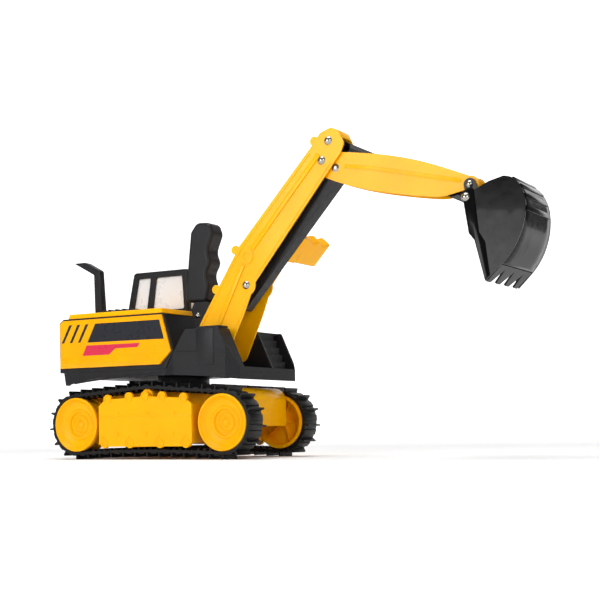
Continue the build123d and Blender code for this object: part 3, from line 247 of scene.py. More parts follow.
def belt_path(lift):
    """Points round a track at this height over the belt's inner face, from under the rear hub."""
    wheel_r, roller_r = BELT_IN_R + lift, ROLLER_IN_R + lift
    run = hypot(WHEEL_X, ROLLER_Z - HUB_Z)
    lean = atan2(ROLLER_Z - HUB_Z, WHEEL_X) + acos((wheel_r - roller_r) / run)
    leave = radians(LEAVE_ANGLE)
    steps = 48
    points = []
    for centre_x, centre_z, radius, first, last in (
        (-WHEEL_X, HUB_Z, wheel_r, -pi / 2, lean - 2 * pi),
        (0.0, ROLLER_Z, roller_r, lean, pi - lean),
        (WHEEL_X, HUB_Z, wheel_r, pi - lean, -pi / 2 - leave),
    ):
        for step in range(steps + 1):
            turn = first + (last - first) * step / steps
            points.append((centre_x + radius * cos(turn), centre_z + radius * sin(turn)))
    half = WHEEL_X - wheel_r * sin(leave)
    end_z = HUB_Z - wheel_r * cos(leave)
    middle_z = HUB_Z - BELT_IN_R + LOWER_RISE - lift
    for step in range(1, steps + 1):
        x = half - 2 * half * step / steps
        points.append((x, middle_z + (end_z - middle_z) * (x / half) ** 2))
    points.append(points[0])
    return points


def stations(lift, count, first):
    """Evenly spaced places round a track, as (x, z, direction of travel)."""
    points = belt_path(lift)
    lengths = [hypot(b[0] - a[0], b[1] - a[1]) for a, b in zip(points, points[1:])]
    total = sum(lengths)
    places = []
    for number in range(count):
        along = ((number + first) / count % 1.0) * total
        index = 0
        while along > lengths[index]:
            along -= lengths[index]
            index += 1
        (x1, z1), (x2, z2) = points[index], points[index + 1]
        part = along / lengths[index] if lengths[index] else 0.0
        places.append((x1 + (x2 - x1) * part, z1 + (z2 - z1) * part, atan2(z2 - z1, x2 - x1)))
    return places


def set_round_track(name, model, places):
    """Copies of a model that was built at the origin, each set on its place round the track."""
    copies = []
    for x, z, turn in places:
        at = Matrix.Translation(Vector((x, 0, z)) * MM)
        copies.append(copy_of(model, at @ Matrix.Rotation(-turn, 4, "Y")))
    bpy.data.objects.remove(model)
    return joined(name, copies)


def complete(piece, body, material, angle=35.0):
    """Merge, turn faces outwards, smooth, paint and fasten a new piece."""
    make_active(piece)
    bpy.ops.object.mode_set(mode="EDIT")
    bpy.ops.mesh.select_all(action="SELECT")
    bpy.ops.mesh.remove_doubles(threshold=0.002 * MM)
    bpy.ops.mesh.normals_make_consistent(inside=False)
    bpy.ops.object.mode_set(mode="OBJECT")
    bpy.ops.object.shade_smooth_by_angle(angle=radians(angle))
    piece.data.materials.clear()
    piece.data.materials.append(material)
    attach(piece, body)
    return piece


# ---------------------------------------------------------------- materials


def linear(hex_colour):
    """Linear colour of an sRGB hex value such as "#ffc20a"."""
    parts = [int(hex_colour[i : i + 2], 16) / 255 for i in (1, 3, 5)]
    return [p / 12.92 if p <= 0.04045 else ((p + 0.055) / 1.055) ** 2.4 for p in parts] + [1.0]


def add_node(tree, kind, settings=None, sockets=None, links=None):
    """Add one node with its settings, socket values and incoming links."""
    node = tree.nodes.new(kind)
    for name, value in (settings or {}).items():
        setattr(node, name, value)
    for name, value in (sockets or {}).items():
        node.inputs[name].default_value = value
    for name, source in (links or {}).items():
        tree.links.new(source, node.inputs[name])
    return node


def new_material(name, sockets):
    """Material with constants on its shader's sockets, with its tree, shader and coordinates."""
    material = bpy.data.materials.new(name)
    material.use_nodes = True
    tree = material.node_tree
    shader = tree.nodes["Principled BSDF"]
    for socket, value in sockets.items():
        shader.inputs[socket].default_value = value
    coordinates = add_node(tree, "ShaderNodeTexCoord").outputs["Object"]
    return material, tree, shader, coordinates


def noise(tree, coordinates, size, detail=2.0, rough=0.5):
    """Noise whose blobs are this many millimetres across."""
    return add_node(
        tree,
        "ShaderNodeTexNoise",
        sockets={"Scale": 1 / (size * MM), "Detail": detail, "Roughness": rough},
        links={"Vector": coordinates},
    ).outputs["Fac"]


def ramp(tree, factor, low, high):
    """Factor between 0.3 and 0.7 stretched to run from one value to another."""
    return add_node(
        tree,
        "ShaderNodeMapRange",
        sockets={"From Min": 0.3, "From Max": 0.7, "To Min": low, "To Max": high},
        links={"Value": factor},
    ).outputs["Result"]


def blend(tree, factor, first, second):
    """Mix of two colours, each a hex value or a socket, by a factor socket."""
    mix = add_node(tree, "ShaderNodeMix", settings={"data_type": "RGBA"}, links={"Factor": factor})
    for socket, colour in ((mix.inputs[6], first), (mix.inputs[7], second)):
        if isinstance(colour, str):
            socket.default_value = linear(colour)
        else:
            tree.links.new(colour, socket)
    return mix.outputs[2]


def add_bump(tree, shader, height, depth, strength=1.0):
    """Bump from a height socket, this many millimetres deep."""
    node = add_node(
        tree,
        "ShaderNodeBump",
        sockets={"Strength": strength, "Distance": depth * MM},
        links={"Height": height},
    )
    tree.links.new(node.outputs["Normal"], shader.inputs["Normal"])
    return node


def enamel_over(material_parts, colour):
    """Finish an enamel: its colour, a slightly uneven gloss and a faint orange peel."""
    material, tree, shader, place_at = material_parts
    tree.links.new(colour, shader.inputs["Base Color"])
    tree.links.new(ramp(tree, noise(tree, place_at, 7.0, 4.0), 0.24, 0.34), shader.inputs["Roughness"])
    add_bump(tree, shader, noise(tree, place_at, 1.6, 1.0), 0.008, 0.5)
    return material


ENAMEL_SOCKETS = {"Coat Weight": 0.12, "Coat Roughness": 0.08, "Specular IOR Level": 0.14}


def yellow_enamel():
    """Stoved enamel on sheet steel: an even satin gloss over a faint orange peel."""
    parts = new_material("yellow_enamel", ENAMEL_SOCKETS)
    _, tree, _, place_at = parts
    colour = blend(tree, ramp(tree, noise(tree, place_at, 45.0), 0.0, 1.0), "#ffb800", "#fdb000")
    return enamel_over(parts, colour)


def yellow_plastic():
    """Injection-moulded ABS: even colour, satin gloss and a fine mould grain."""
    material, tree, shader, place_at = new_material(
        "yellow_abs", {"IOR": 1.54, "Specular IOR Level": 0.14}
    )
    colour = blend(tree, ramp(tree, noise(tree, place_at, 30.0), 0.0, 1.0), "#ffb700", "#ffb000")
    tree.links.new(colour, shader.inputs["Base Color"])
    tree.links.new(ramp(tree, noise(tree, place_at, 4.0, 3.0), 0.3, 0.42), shader.inputs["Roughness"])
    add_bump(tree, shader, noise(tree, place_at, 0.7, 2.0), 0.02, 0.4)
    return material


def black_plastic():
    """Moulded polypropylene with a spark-eroded grain: dark grey with a soft broad shine."""
    material, tree, shader, place_at = new_material(
        "black_polypropylene", {"IOR": 1.49, "Specular IOR Level": 0.3}
    )
    colour = blend(tree, ramp(tree, noise(tree, place_at, 20.0), 0.0, 1.0), "#161618", "#1a1a1d")
    tree.links.new(colour, shader.inputs["Base Color"])
    tree.links.new(ramp(tree, noise(tree, place_at, 3.0, 3.0), 0.38, 0.52), shader.inputs["Roughness"])
    add_bump(tree, shader, noise(tree, place_at, 0.6, 3.0, 0.6), 0.04, 0.6)
    return material


def track_rubber():
    """Soft moulded PVC: black with a slight sheen and a touch of grey on its faces."""
    material, tree, shader, place_at = new_material(
        "black_pvc", {"IOR": 1.53, "Specular IOR Level": 0.25}
    )
    colour = blend(tree, ramp(tree, noise(tree, place_at, 12.0, 4.0), 0.0, 1.0), "#0c0c0d", "#111112")
    tree.links.new(colour, shader.inputs["Base Color"])
    tree.links.new(ramp(tree, noise(tree, place_at, 2.5, 3.0), 0.36, 0.5), shader.inputs["Roughness"])
    add_bump(tree, shader, noise(tree, place_at, 0.9, 2.0), 0.04, 0.5)
    return material


def black_enamel():
    """Gloss enamel on pressed steel: mirror-like, with long soft ripples that bend reflections."""
    material, tree, shader, place_at = new_material(
        "black_enamel", {"Coat Weight": 0.08, "Coat Roughness": 0.03, "Specular IOR Level": 0.14}
    )
    colour = blend(tree, ramp(tree, noise(tree, place_at, 25.0), 0.0, 1.0), "#050506", "#08080a")
    tree.links.new(colour, shader.inputs["Base Color"])
    tree.links.new(ramp(tree, noise(tree, place_at, 5.0, 3.0), 0.14, 0.22), shader.inputs["Roughness"])
    peel = add_bump(tree, shader, noise(tree, place_at, 1.8, 1.0), 0.02, 0.35)
    ripple = add_node(
        tree,
        "ShaderNodeBump",
        sockets={"Strength": 0.5, "Distance": 0.5 * MM},
        links={"Height": noise(tree, place_at, 24.0, 1.0)},
    )
    tree.links.new(ripple.outputs["Normal"], peel.inputs["Normal"])
    tree.links.new(ripple.outputs["Normal"], shader.inputs["Coat Normal"])
    return material


def bright_nickel():
    """Nickel-plated rivet heads: bright, with faint tumbling marks."""
    material, tree, shader, place_at = new_material("bright_nickel", {"Metallic": 1.0})
    colour = blend(tree, ramp(tree, noise(tree, place_at, 3.0), 0.0, 1.0), "#b4b1aa", "#a19e97")
    tree.links.new(colour, shader.inputs["Base Color"])
    tree.links.new(ramp(tree, noise(tree, place_at, 0.8, 4.0), 0.12, 0.26), shader.inputs["Roughness"])
    add_bump(tree, shader, noise(tree, place_at, 0.7, 3.0), 0.01, 0.5)
    return material


def drawn_steel():
    """Plain drawn steel pins: grey metal with fine lines round them."""
    material, tree, shader, place_at = new_material("drawn_steel", {"Metallic": 1.0})
    colour = blend(tree, ramp(tree, noise(tree, place_at, 4.0), 0.0, 1.0), "#a9a9ab", "#979799")
    tree.links.new(colour, shader.inputs["Base Color"])
    tree.links.new(ramp(tree, noise(tree, place_at, 0.6, 4.0), 0.28, 0.45), shader.inputs["Roughness"])
    add_bump(tree, shader, noise(tree, place_at, 0.5, 2.0), 0.01, 0.5)
    return material


def milky_styrene():
    """Milky moulded polystyrene: pale and softly see-through, hazy along its flow."""
    material, tree, shader, place_at = new_material(
        "milky_polystyrene", {"Transmission Weight": 0.12, "IOR": 1.49, "Base Color": linear("#fdfeff")}
    )
    tree.links.new(ramp(tree, noise(tree, place_at, 14.0, 2.0), 0.26, 0.3), shader.inputs["Roughness"])
    return material


# Printed marks on the side panels, as (x, z) corners in millimetres, clockwise seen from the right
BAR_CORNERS = [(-112.6, 120.9), (-101.9, 139.5), (-98.1, 139.5), (-109.2, 120.9)]
BAR_PITCH = 11.0
BAR_COUNT = 3
DARK_FIELD = [(-77.9, 120.4), (-67.5, 139.4), (14.2, 139.2), (19.7, 119.8)]
ACCENT_TOP = [(-81.6, 112.9), (-79.1, 117.4), (-10.0, 117.1), (-13.7, 112.9)]
ACCENT_LOW = [(-84.9, 106.9), (-81.6, 112.9), (-41.6, 112.9), (-49.8, 106.9)]



def combined(tree, operation, first, second):
    """Result of a two-input operation on two sockets."""
    node = add_node(tree, "ShaderNodeMath", {"operation": operation}, links={0: first, 1: second})
    return node.outputs[0]


def inside(tree, x, z, corners):
    """1 inside a convex outline and 0 outside it."""
    mask = None
    for (x1, z1), (x2, z2) in zip(corners, corners[1:] + corners[:1]):
        across, up = (z2 - z1) * MM, (x2 - x1) * MM
        level = (x1 * across - z1 * up) * MM
        along_x = add_node(tree, "ShaderNodeMath", {"operation": "MULTIPLY"}, {1: across}, {0: x})
        along_z = add_node(
            tree,
            "ShaderNodeMath",
            {"operation": "MULTIPLY_ADD"},
            {1: -up},
            {0: z, 2: along_x.outputs[0]},
        )
        half = add_node(
            tree,
            "ShaderNodeMath",
            {"operation": "GREATER_THAN"},
            {1: level},
            {0: along_z.outputs[0]},
        ).outputs[0]
        mask = half if mask is None else combined(tree, "MULTIPLY", mask, half)
    return mask


def either(tree, masks):
    """1 where any of the masks is 1."""
    total = masks[0]
    for mask in masks[1:]:
        total = combined(tree, "MAXIMUM", total, mask)
    return total


def printed_enamel():
    """Enamelled side panel with screen-printed marks: flat dark grey and rose ink on yellow."""
    parts = new_material("printed_enamel", ENAMEL_SOCKETS)
    _, tree, _, place_at = parts
    axes = add_node(tree, "ShaderNodeSeparateXYZ", links={"Vector": place_at})
    x, z = axes.outputs["X"], axes.outputs["Z"]
    bars = [[(bx + BAR_PITCH * n, bz) for bx, bz in BAR_CORNERS] for n in range(BAR_COUNT)]
    dark = either(tree, [inside(tree, x, z, shape) for shape in bars + [DARK_FIELD]])
    rose = either(tree, [inside(tree, x, z, shape) for shape in (ACCENT_TOP, ACCENT_LOW)])
    paint = blend(tree, ramp(tree, noise(tree, place_at, 45.0), 0.0, 1.0), "#fbae00", "#f6a700")
    with_dark = blend(tree, dark, paint, "#2b2c31")
    return enamel_over(parts, blend(tree, rose, with_dark, "#d3344f"))


# Painted glow on the backdrop: where it starts and where it is full, in metres from the toy, and its
# strength
GLOW_START = 0.6
GLOW_FULL = 2.2
GLOW_STRENGTH = 0.9


def floor_paper():
    """Matt white backdrop paper with a painted glow that rises away from the toy, standing in for light
    so that it stays white.
    """
    material, tree, shader, place_at = new_material(
        "backdrop_paper", {"Roughness": 0.85, "IOR": 1.45, "Emission Color": linear("#ffffff")}
    )
    colour = blend(tree, ramp(tree, noise(tree, place_at, 60.0, 4.0), 0.0, 1.0), "#fbfbfb", "#f8f8f8")
    tree.links.new(colour, shader.inputs["Base Color"])
    add_bump(tree, shader, noise(tree, place_at, 2.0, 3.0), 0.02, 0.2)
    # Painted glow: emission that is zero near the toy and grows with distance, in place of light on the
    # far paper
    away = add_node(tree, "ShaderNodeVectorMath", {"operation": "LENGTH"}, links={0: place_at})
    glow = add_node(
        tree,
        "ShaderNodeMapRange",
        sockets={"From Min": GLOW_START, "From Max": GLOW_FULL, "To Min": 0.0, "To Max": GLOW_STRENGTH},
        links={"Value": away.outputs["Value"]},
    )
    tree.links.new(glow.outputs["Result"], shader.inputs["Emission Strength"])
    return material


FINISHES = {
    "yellow_enamel": yellow_enamel,
    "yellow_plastic": yellow_plastic,
    "black_plastic": black_plastic,
    "track_rubber": track_rubber,
    "black_enamel": black_enamel,
    "nickel": bright_nickel,
    "steel": drawn_steel,
    "glazing": milky_styrene,
    "printed": printed_enamel,
    "paper": floor_paper,
}
made_finishes = {}


def finish(name):
    """The finish of this name, made the first time it is asked for."""
    if name not in made_finishes:
        made_finishes[name] = FINISHES[name]()
    return made_finishes[name]


# Finish of each record slot on the carried-over nodes
SLOT_FINISH = {
    "yellow_paint": "yellow_enamel",
    "yellow_plastic": "yellow_plastic",
    "black_plastic": "black_plastic",
    "track_rubber": "track_rubber",
    "black_paint": "black_enamel",
    "nickel": "nickel",
    "steel": "steel",
    "clear_glazing": "glazing",
}
PRINTED_NODES = ("side_panel_right", "side_panel_left")
# Nodes whose edges are rounded, with the width in millimetres
EDGE_WIDTHS = {
    "track_rubber": 0.25,
    "black_plastic": 0.5,
    "yellow_plastic": 0.7,
    "yellow_paint": 0.35,
    "black_paint": 0.3,
}
KEEP_SHARP = ("upper_roller_right", "upper_roller_left", "handle_shell_right", "handle_shell_left")
EDGE_ANGLE = 28.0


class ExcavatorSizes(bpy.types.PropertyGroup):
    """Sizes and the camera lens that a user would change."""

    fin_ridge: bpy.props.FloatProperty(
        name="Ridge height",
        description="Height of the low ridge between two track fins",
        default=1.2 * MM,
        unit="LENGTH",
    )
    rib_height: bpy.props.FloatProperty(
        name="Rib height",
        description="Height of the pressed rib along the boom and stick",
        default=1.3 * MM,
        unit="LENGTH",
    )
    camera_lens: bpy.props.FloatProperty(
        name="Lens",
        description="Focal length of the camera",
        default=75.06,
        subtype="DISTANCE_CAMERA",
    )


class EXCAVATOR_OT_paint_frame(bpy.types.Operator):
    """Give every carried-over node its finish and rounded edges"""

    bl_idname = "excavator.paint_frame"
    bl_label = "Paint the frame"

    def execute(self, context):
        slots = {part["node"]: part["material_slot"] for part in frame["record"]["subparts"]}
        for name, node in frame["nodes"].items():
            material = finish("printed" if name in PRINTED_NODES else SLOT_FINISH[slots[name]])
            node.data.materials.clear()
            node.data.materials.append(material)
            width = EDGE_WIDTHS.get(slots[name])
            if width and name not in KEEP_SHARP:
                weld = node.modifiers.new("Weld", "WELD")
                weld.merge_threshold = 0.005 * MM
                bevel = node.modifiers.new("Bevel", "BEVEL")
                bevel.width = width * MM
                bevel.segments = 2
                bevel.limit_method = "ANGLE"
                bevel.angle_limit = radians(EDGE_ANGLE)
                bevel.harden_normals = True
        return {"FINISHED"}


RIDGE_HALF = 3.0
RIDGE_INSET = 0.5
LUG_HALF = 1.5
LUG_IN_Y = 43.6
LUG_OUT_Y = 60.0
LUG_HEIGHT = 2.3
# Depth by which added pieces are sunk into what they sit on
SUNK = 0.4
# Half length of the belt over the roller that has no lugs
ROLLER_SPACE = 13.0


class EXCAVATOR_OT_add_treads(bpy.types.Operator):
    """Add the low ridges between the fins and the drive lugs inside each track"""

    bl_idname = "excavator.add_treads"
    bl_label = "Add treads"

    def execute(self, context):
        ridge_height = context.scene.excavator_sizes.fin_ridge / MM
        for name, side in sides():
            y_low, y_high = sorted((side * (BELT_IN_Y + RIDGE_INSET), side * (BELT_OUT_Y - RIDGE_INSET)))
            ridge = block("ridge", (-RIDGE_HALF, y_low, -SUNK), (RIDGE_HALF, y_high, ridge_height))
            bevel_edges(ridge, lambda middle, along: middle.z > ridge_height - 0.1, 0.7)
            ridges = set_round_track(f"track_ridges_{name}", ridge, stations(BELT_THICK, FIN_COUNT, 0.5))
            complete(ridges, "undercarriage", finish("track_rubber"))
            y_low, y_high = sorted((side * LUG_IN_Y, side * LUG_OUT_Y))
            lug = block("lug", (-LUG_HALF, y_low, -LUG_HEIGHT), (LUG_HALF, y_high, SUNK))
            bevel_edges(lug, lambda middle, along: middle.z < 0.1 - LUG_HEIGHT, 0.7)
            places = stations(0.0, 2 * FIN_COUNT, 0.5)
            places = [at for at in places if abs(at[0]) > ROLLER_SPACE or at[1] < HUB_Z]
            lugs = set_round_track(f"drive_lugs_{name}", lug, places)
            complete(lugs, "undercarriage", finish("track_rubber"))
        return {"FINISHED"}


# Lines of the pressed ribs, as (x, z)
BOOM_RIB_LOW = [(66.0, 129.0), (81.0, 160.0), (95.5, 189.5)]
BOOM_RIB_HIGH = [(106.0, 204.5), (140.0, 244.0), (180.0, 289.0)]
BOOM_BACK_LINE = [
    (45.5, 129.8),
    (52.5, 141.2),
    (86.0, 195.5),
    (93.4, 205.6),
    (101.0, 214.6),
    (136.0, 253.2),
    (170.0, 290.7),
]
BOOM_FRONT_LINE = [(88.0, 130.4), (94.6, 144.0), (100.0, 157.2)]
BOOM_FRONT_HIGH = [(111.0, 178.6), (140.0, 214.3), (174.0, 256.2), (192.0, 278.4)]
STICK_RIB = [(206.0, 275.5), (236.0, 270.0), (266.0, 262.6), (296.0, 255.2), (324.0, 248.6)]
RIB_WIDTH = 5.0
STICK_RIB_WIDTH = 3.2
LINE_WIDTH = 1.3
LINE_HEIGHT = 0.45
RIB_SUNK = 0.3


class EXCAVATOR_OT_add_arm_ribs(bpy.types.Operator):
    """Add the pressed ribs and edge lines of the boom and the stick"""

    bl_idname = "excavator.add_arm_ribs"
    bl_label = "Add arm ribs"

    def execute(self, context):
        height = context.scene.excavator_sizes.rib_height / MM
        for name, side in sides():
            ribs = []
            for line, width, rise in (
                (BOOM_RIB_LOW, RIB_WIDTH, height),
                (BOOM_RIB_HIGH, RIB_WIDTH, height),
                (BOOM_BACK_LINE, LINE_WIDTH, LINE_HEIGHT),
                (BOOM_FRONT_LINE, LINE_WIDTH, LINE_HEIGHT),
                (BOOM_FRONT_HIGH, LINE_WIDTH, LINE_HEIGHT),
            ):
                rib = plate("rib", strip(line, width), -RIB_SUNK, rise)
                round_edges(rib, min(0.4 * width, 0.85 * rise))
                place(rib, onto_boom(side))
                ribs.append(rib)
            boom_ribs = joined(f"boom_ribs_{name}", ribs)
            complete(boom_ribs, "boom", finish("yellow_enamel"))
            outline = strip(STICK_RIB, STICK_RIB_WIDTH)
            stick_rib = plate(f"stick_rib_{name}", outline, -RIB_SUNK, 0.8 * height)
            round_edges(stick_rib, 0.7 * height)
            place(stick_rib, onto_side(side, BOOM_Y, STICK_HALF_Y))
            complete(stick_rib, "stick", finish("yellow_enamel"))
        return {"FINISHED"}


# Reinforcing strap down the front edge of each bucket side, as (x, z)
STRAP = [
    (333.6, 233.4),
    (341.6, 237.2),
    (344.5, 234.6),
    (351.0, 197.0),
    (357.0, 188.0),
    (362.8, 158.2),
    (358.8, 154.2),
    (347.4, 190.2),
    (341.9, 196.7),
]
# Steps pressed across the top of the bucket's back, as (x, z, direction in degrees)
BACK_STEPS = [(380.2, 241.4, -42.0), (386.8, 234.6, -52.0), (390.9, 225.6, -70.0), (392.6, 214.5, -84.0)]
STEP_HALF = 2.4
STEP_SUNK = 1.0
STEP_RISE = 0.9


class EXCAVATOR_OT_add_bucket_trim(bpy.types.Operator):
    """Add the straps on the bucket's sides and the steps pressed across its back"""

    bl_idname = "excavator.add_bucket_trim"
    bl_label = "Add bucket trim"

    def execute(self, context):
        for name, side in sides():
            strap = plate(f"bucket_strap_{name}", STRAP, -0.1, 0.8)
            round_edges(strap, 0.35)
            place(strap, onto_bucket(side))
            complete(strap, "bucket", finish("black_enamel"))
        steps = []
        for x, z, turn in BACK_STEPS:
            half = BUCKET_HALF_Y + BUCKET_FLARE * (BUCKET_TOP_Z - z) - STEP_HALF
            step = block("step", (-STEP_HALF, -half, -STEP_SUNK), (STEP_HALF, half, STEP_RISE))
            round_edges(step, 0.7)
            turned = Matrix.Rotation(radians(-turn), 4, "Y")
            place(step, Matrix.Translation(Vector((x, BOOM_Y, z)) * MM) @ turned)
            steps.append(step)
        complete(joined("bucket_back_steps", steps), "bucket", finish("black_enamel"))
        return {"FINISHED"}


GRIP_START = 74.5
GRIP_END = 103.5
GRIP_BACK = -3.0
GRIP_FRONT = 10.0
GRIP_ROOT_Y = 3.5
GRIP_TIP_Y = 45.0
FINGER_PITCH = 20.0
FINGER_DEPTH = 2.6
GRIP_CUTS = 18
NECK_RIGHT_Y = -8.0
NECK_THICK = 4.0


def on_push_bar():
    """Matrix of the push bar's own frame: x down the bar, z out to its front."""
    run = hypot(SLOT_PIVOT[0] - BAR_PIVOT[0], SLOT_PIVOT[1] - BAR_PIVOT[1])
    down_x = (SLOT_PIVOT[0] - BAR_PIVOT[0]) / run
    down_z = (SLOT_PIVOT[1] - BAR_PIVOT[1]) / run
    return Matrix(
        (
            (down_x, 0, -down_z, BAR_PIVOT[0] * MM),
            (0, 1, 0, 0),
            (down_z, 0, down_x, BAR_PIVOT[1] * MM),
            (0, 0, 0, 1),
        )
    )


class EXCAVATOR_OT_add_hand_grip(bpy.types.Operator):
    """Add the push bar's grip with its finger waves, in place of the plain one"""

    bl_idname = "excavator.add_hand_grip"
    bl_label = "Add hand grip"

    def execute(self, context):
        grip = block("grip", (GRIP_START, GRIP_ROOT_Y, GRIP_BACK), (GRIP_END, GRIP_TIP_Y, GRIP_FRONT))
        make_active(grip)
        bpy.ops.object.mode_set(mode="EDIT")
        for cut in range(1, GRIP_CUTS):
            bpy.ops.mesh.select_all(action="SELECT")
            y = GRIP_ROOT_Y + (GRIP_TIP_Y - GRIP_ROOT_Y) * cut / GRIP_CUTS
            bpy.ops.mesh.bisect(plane_co=(0, y * MM, 0), plane_no=(0, 1, 0))
        mesh = bmesh.from_edit_mesh(grip.data)
        for vertex in mesh.verts:
            if vertex.co.x < (GRIP_START + 1) * MM:
                wave = 0.5 - 0.5 * cos(2 * pi * (vertex.co.y / MM - GRIP_ROOT_Y) / FINGER_PITCH)
                vertex.co.x += FINGER_DEPTH * wave * MM
        bmesh.update_edit_mesh(grip.data)
        bpy.ops.object.mode_set(mode="OBJECT")
        round_edges(grip, 3.2, 4, 50.0)
        neck = block(
            "neck",
            (GRIP_START, NECK_RIGHT_Y, GRIP_FRONT - NECK_THICK),
            (GRIP_END, GRIP_ROOT_Y + 1.0, GRIP_FRONT - 0.1),
        )
        round_edges(neck, 0.6)
        whole = joined("push_bar_hand_grip", [grip, neck])
        place(whole, on_push_bar())
        complete(whole, "push_bar", finish("yellow_plastic"), 50.0)
        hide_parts("push_bar_grip")
        return {"FINISHED"}


CHEEK_PANEL = [(58.2, 92.0), (58.2, 127.6), (78.4, 127.6), (78.4, 92.0)]
SEAM_LINE = [(33.0, 106.6), (60.0, 106.0), (84.0, 105.4), (91.5, 102.4), (94.6, 96.4), (94.0, 90.5)]
SEAM_WIDTH = 1.1
# The lip follows the arch under the house from its rear end to where the plan starts to taper
ARCH_HALF_X = 103.0
ARCH_END_Z = 76.6
ARCH_TOP_Z = 83.0
LIP_REAR_X = -98.0
LIP_FRONT_X = 19.0
LIP_RISE = 1.6
LIP_WIDTH = 2.0
LIP_PARTS = 16
TRIM_SUNK = 0.2


class EXCAVATOR_OT_add_house_trim(bpy.types.Operator):
    """Add the raised panel and seam of the cheeks and the lip under the house's arched edge"""

    bl_idname = "excavator.add_house_trim"
    bl_label = "Add house trim"

    def execute(self, context):
        for name, side in sides():
            panel = plate("panel", CHEEK_PANEL, -TRIM_SUNK, 0.5)
            round_edges(panel, 0.4)
            seam = plate("seam", strip(SEAM_LINE, SEAM_WIDTH), -TRIM_SUNK, 0.45)
            round_edges(seam, 0.3)
            trim = joined(f"cheek_trim_{name}", [panel, seam])
            place(trim, onto_side(side, 0.0, CHEEK_HALF_Y))
            complete(trim, "house", finish("black_plastic"))
            arch = []
            for part in range(LIP_PARTS + 1):
                x = LIP_REAR_X + (LIP_FRONT_X - LIP_REAR_X) * part / LIP_PARTS
                drop = (ARCH_TOP_Z - ARCH_END_Z) * (x / ARCH_HALF_X) ** 2
                arch.append((x, ARCH_TOP_Z - drop + LIP_RISE))
            lip = plate(f"skirt_lip_{name}", strip(arch, LIP_WIDTH), -TRIM_SUNK, 0.7)
            round_edges(lip, 0.4)
            place(lip, onto_side(side, 0.0, HOUSE_HALF_Y))
            complete(lip, "house", finish("black_plastic"))
        return {"FINISHED"}


COVER_CREASE = [(-57.0, 43.0), (0.0, 44.6), (57.0, 43.0)]
LOW_STUDS_X = (-50.5, -18.0, 19.0, 50.5)
LOW_STUDS_Z = 16.2
CREASE_WIDTH = 1.8
COVER_RELIEF = 0.5
FENDER_IN_R = 5.8
FENDER_OUT_R = 7.4


def fender(x, z, inner, outer):
    """Outline of a quarter ring over the left of a stud."""
    steps = 10
    turns = [radians(95 + 95 * step / steps) for step in range(steps + 1)]
    out = [(x + outer * cos(turn), z + outer * sin(turn)) for turn in turns]
    back = [(x + inner * cos(turn), z + inner * sin(turn)) for turn in reversed(turns)]
    return out + back


class EXCAVATOR_OT_add_cover_trim(bpy.types.Operator):
    """Add the crease and the stud fenders of the bogie covers"""

    bl_idname = "excavator.add_cover_trim"
    bl_label = "Add cover trim"

    def execute(self, context):
        for name, side in sides():
            trims = [plate("crease", strip(COVER_CREASE, CREASE_WIDTH), -TRIM_SUNK, COVER_RELIEF)]
            round_edges(trims[0], 0.4)
            for x in LOW_STUDS_X:
                outline = fender(x, LOW_STUDS_Z, FENDER_IN_R, FENDER_OUT_R)
                arc = plate("fender", outline, -TRIM_SUNK, COVER_RELIEF)
                round_edges(arc, 0.4)
                trims.append(arc)
            trim = joined(f"cover_trim_{name}", trims)
            place(trim, onto_side(side, 0.0, COVER_FACE_Y))
            complete(trim, "undercarriage", finish("yellow_plastic"))
        return {"FINISHED"}


class EXCAVATOR_OT_add_stage(bpy.types.Operator):
    """Add the floor with its upswept back, the lights and the camera"""

    bl_idname = "excavator.add_stage"
    bl_label = "Add stage"

    def execute(self, context):
        add_floor()
        add_lights()
        add_camera(context.scene.excavator_sizes.camera_lens)
        return {"FINISHED"}


CAMERA_AT = (762.6, -1063.6, 31.1)
CAMERA_AZIMUTH = 30.36
CAMERA_ROLL = -0.86
CAMERA_SHIFT = 0.21


def add_camera(lens):
    """Level camera at the three-quarter view, with the horizon shifted down."""
    data = bpy.data.cameras.new("camera")
    data.lens = lens
    data.sensor_width = 36.0
    data.shift_y = CAMERA_SHIFT
    camera = bpy.data.objects.new("camera", data)
    bpy.context.collection.objects.link(camera)
    turn = Matrix.Rotation(radians(CAMERA_AZIMUTH), 4, "Z") @ Matrix.Rotation(pi / 2, 4, "X")
    roll = Matrix.Rotation(radians(CAMERA_ROLL), 4, "Z")
    camera.matrix_world = Matrix.Translation(Vector(CAMERA_AT) * MM) @ turn @ roll
    bpy.context.scene.camera = camera


FLOOR_HALF = 7.0
SWEEP_HEIGHT = 5.0
SWEEP_ROUND = 2.5


def add_floor():
    """Sheet of paper that runs under the toy and sweeps up behind it, square to the camera."""
    deselect()
    bpy.ops.mesh.primitive_plane_add(size=2 * FLOOR_HALF, location=(0, 0, 0))
    floor = bpy.context.object
    floor.name = "backdrop"
    pick_edges(floor, lambda middle, _: middle.y > FLOOR_HALF / MM - 1)
    bpy.ops.mesh.extrude_region_move(TRANSFORM_OT_translate={"value": (0, 0, SWEEP_HEIGHT)})
    bpy.ops.object.mode_set(mode="OBJECT")
    bevel_edges(
        floor,
        lambda middle, along: middle.y > FLOOR_HALF / MM - 1 and abs(along.x) > 0.9 and middle.z < 1,
        SWEEP_ROUND / MM,
        12,
    )
    place(floor, Matrix.Rotation(radians(CAMERA_AZIMUTH), 4, "Z"))
    make_active(floor)
    bpy.ops.object.shade_smooth()
    floor.data.materials.append(finish("paper"))


# Name, place, power, width and target of each softbox, in metres and watts
SOFTBOXES = (
    ("overhead", (0.1, -0.1, 2.0), 33.0, 1.4, (0.12, 0.0, 0.1)),
    ("key", (-0.25, -1.25, 0.52), 7.0, 0.6, (0.12, 0.0, 0.2)),
    ("fill", (1.9, -1.6, 0.9), 12.0, 0.7, (0.15, 0.0, 0.12)),
)
ROOM_STRENGTH = 0.2


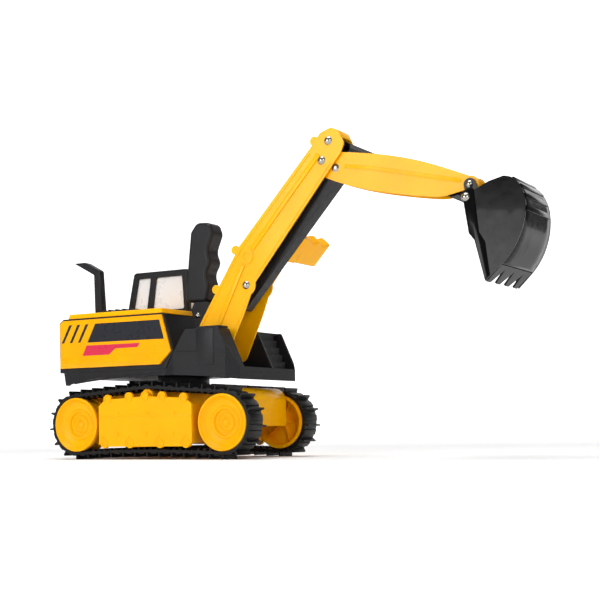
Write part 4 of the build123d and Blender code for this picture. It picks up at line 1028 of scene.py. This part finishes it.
def add_lights():
    """Wide overhead softbox, a low key from the front left, a fill from the right and a dim room."""
    for name, at, power, size, aim in SOFTBOXES:
        data = bpy.data.lights.new(name, "AREA")
        data.energy = power
        data.size = size
        lamp = bpy.data.objects.new(name, data)
        bpy.context.collection.objects.link(lamp)
        lamp.location = at
        lamp.rotation_euler = (Vector(aim) - Vector(at)).to_track_quat("-Z", "Y").to_euler()
    world = bpy.data.worlds.new("dim_room")
    world.use_nodes = True
    room = world.node_tree.nodes["Background"]
    room.inputs["Color"].default_value = linear("#ffffff")
    room.inputs["Strength"].default_value = ROOM_STRENGTH
    bpy.context.scene.world = world
    bpy.context.scene.view_settings.view_transform = "Standard"


class EXCAVATOR_PT_panel(bpy.types.Panel):
    """Lists the excavator's operators"""

    bl_label = "Excavator"
    bl_idname = "EXCAVATOR_PT_panel"
    bl_space_type = "VIEW_3D"
    bl_region_type = "UI"
    bl_category = "Excavator"

    def draw(self, context):
        sizes = context.scene.excavator_sizes
        for name in ("fin_ridge", "rib_height", "camera_lens"):
            self.layout.prop(sizes, name)
        for operator in OPERATORS:
            self.layout.operator(operator.bl_idname)


OPERATORS = (
    EXCAVATOR_OT_paint_frame,
    EXCAVATOR_OT_add_treads,
    EXCAVATOR_OT_add_arm_ribs,
    EXCAVATOR_OT_add_bucket_trim,
    EXCAVATOR_OT_add_hand_grip,
    EXCAVATOR_OT_add_house_trim,
    EXCAVATOR_OT_add_cover_trim,
    EXCAVATOR_OT_add_stage,
)
CLASSES = (ExcavatorSizes,) + OPERATORS + (EXCAVATOR_PT_panel,)


def register():
    for item in CLASSES:
        bpy.utils.register_class(item)
    bpy.types.Scene.excavator_sizes = bpy.props.PointerProperty(type=ExcavatorSizes)


def unregister():
    del bpy.types.Scene.excavator_sizes
    for item in reversed(CLASSES):
        bpy.utils.unregister_class(item)


def corners(box):
    """Box corners as plain lists."""
    return [list(corner) for corner in box]


def main():
    register()
    for operator in OPERATORS:
        group, name = operator.bl_idname.split(".")
        getattr(getattr(bpy.ops, group), name)()


if __name__ == "__main__":
    main()
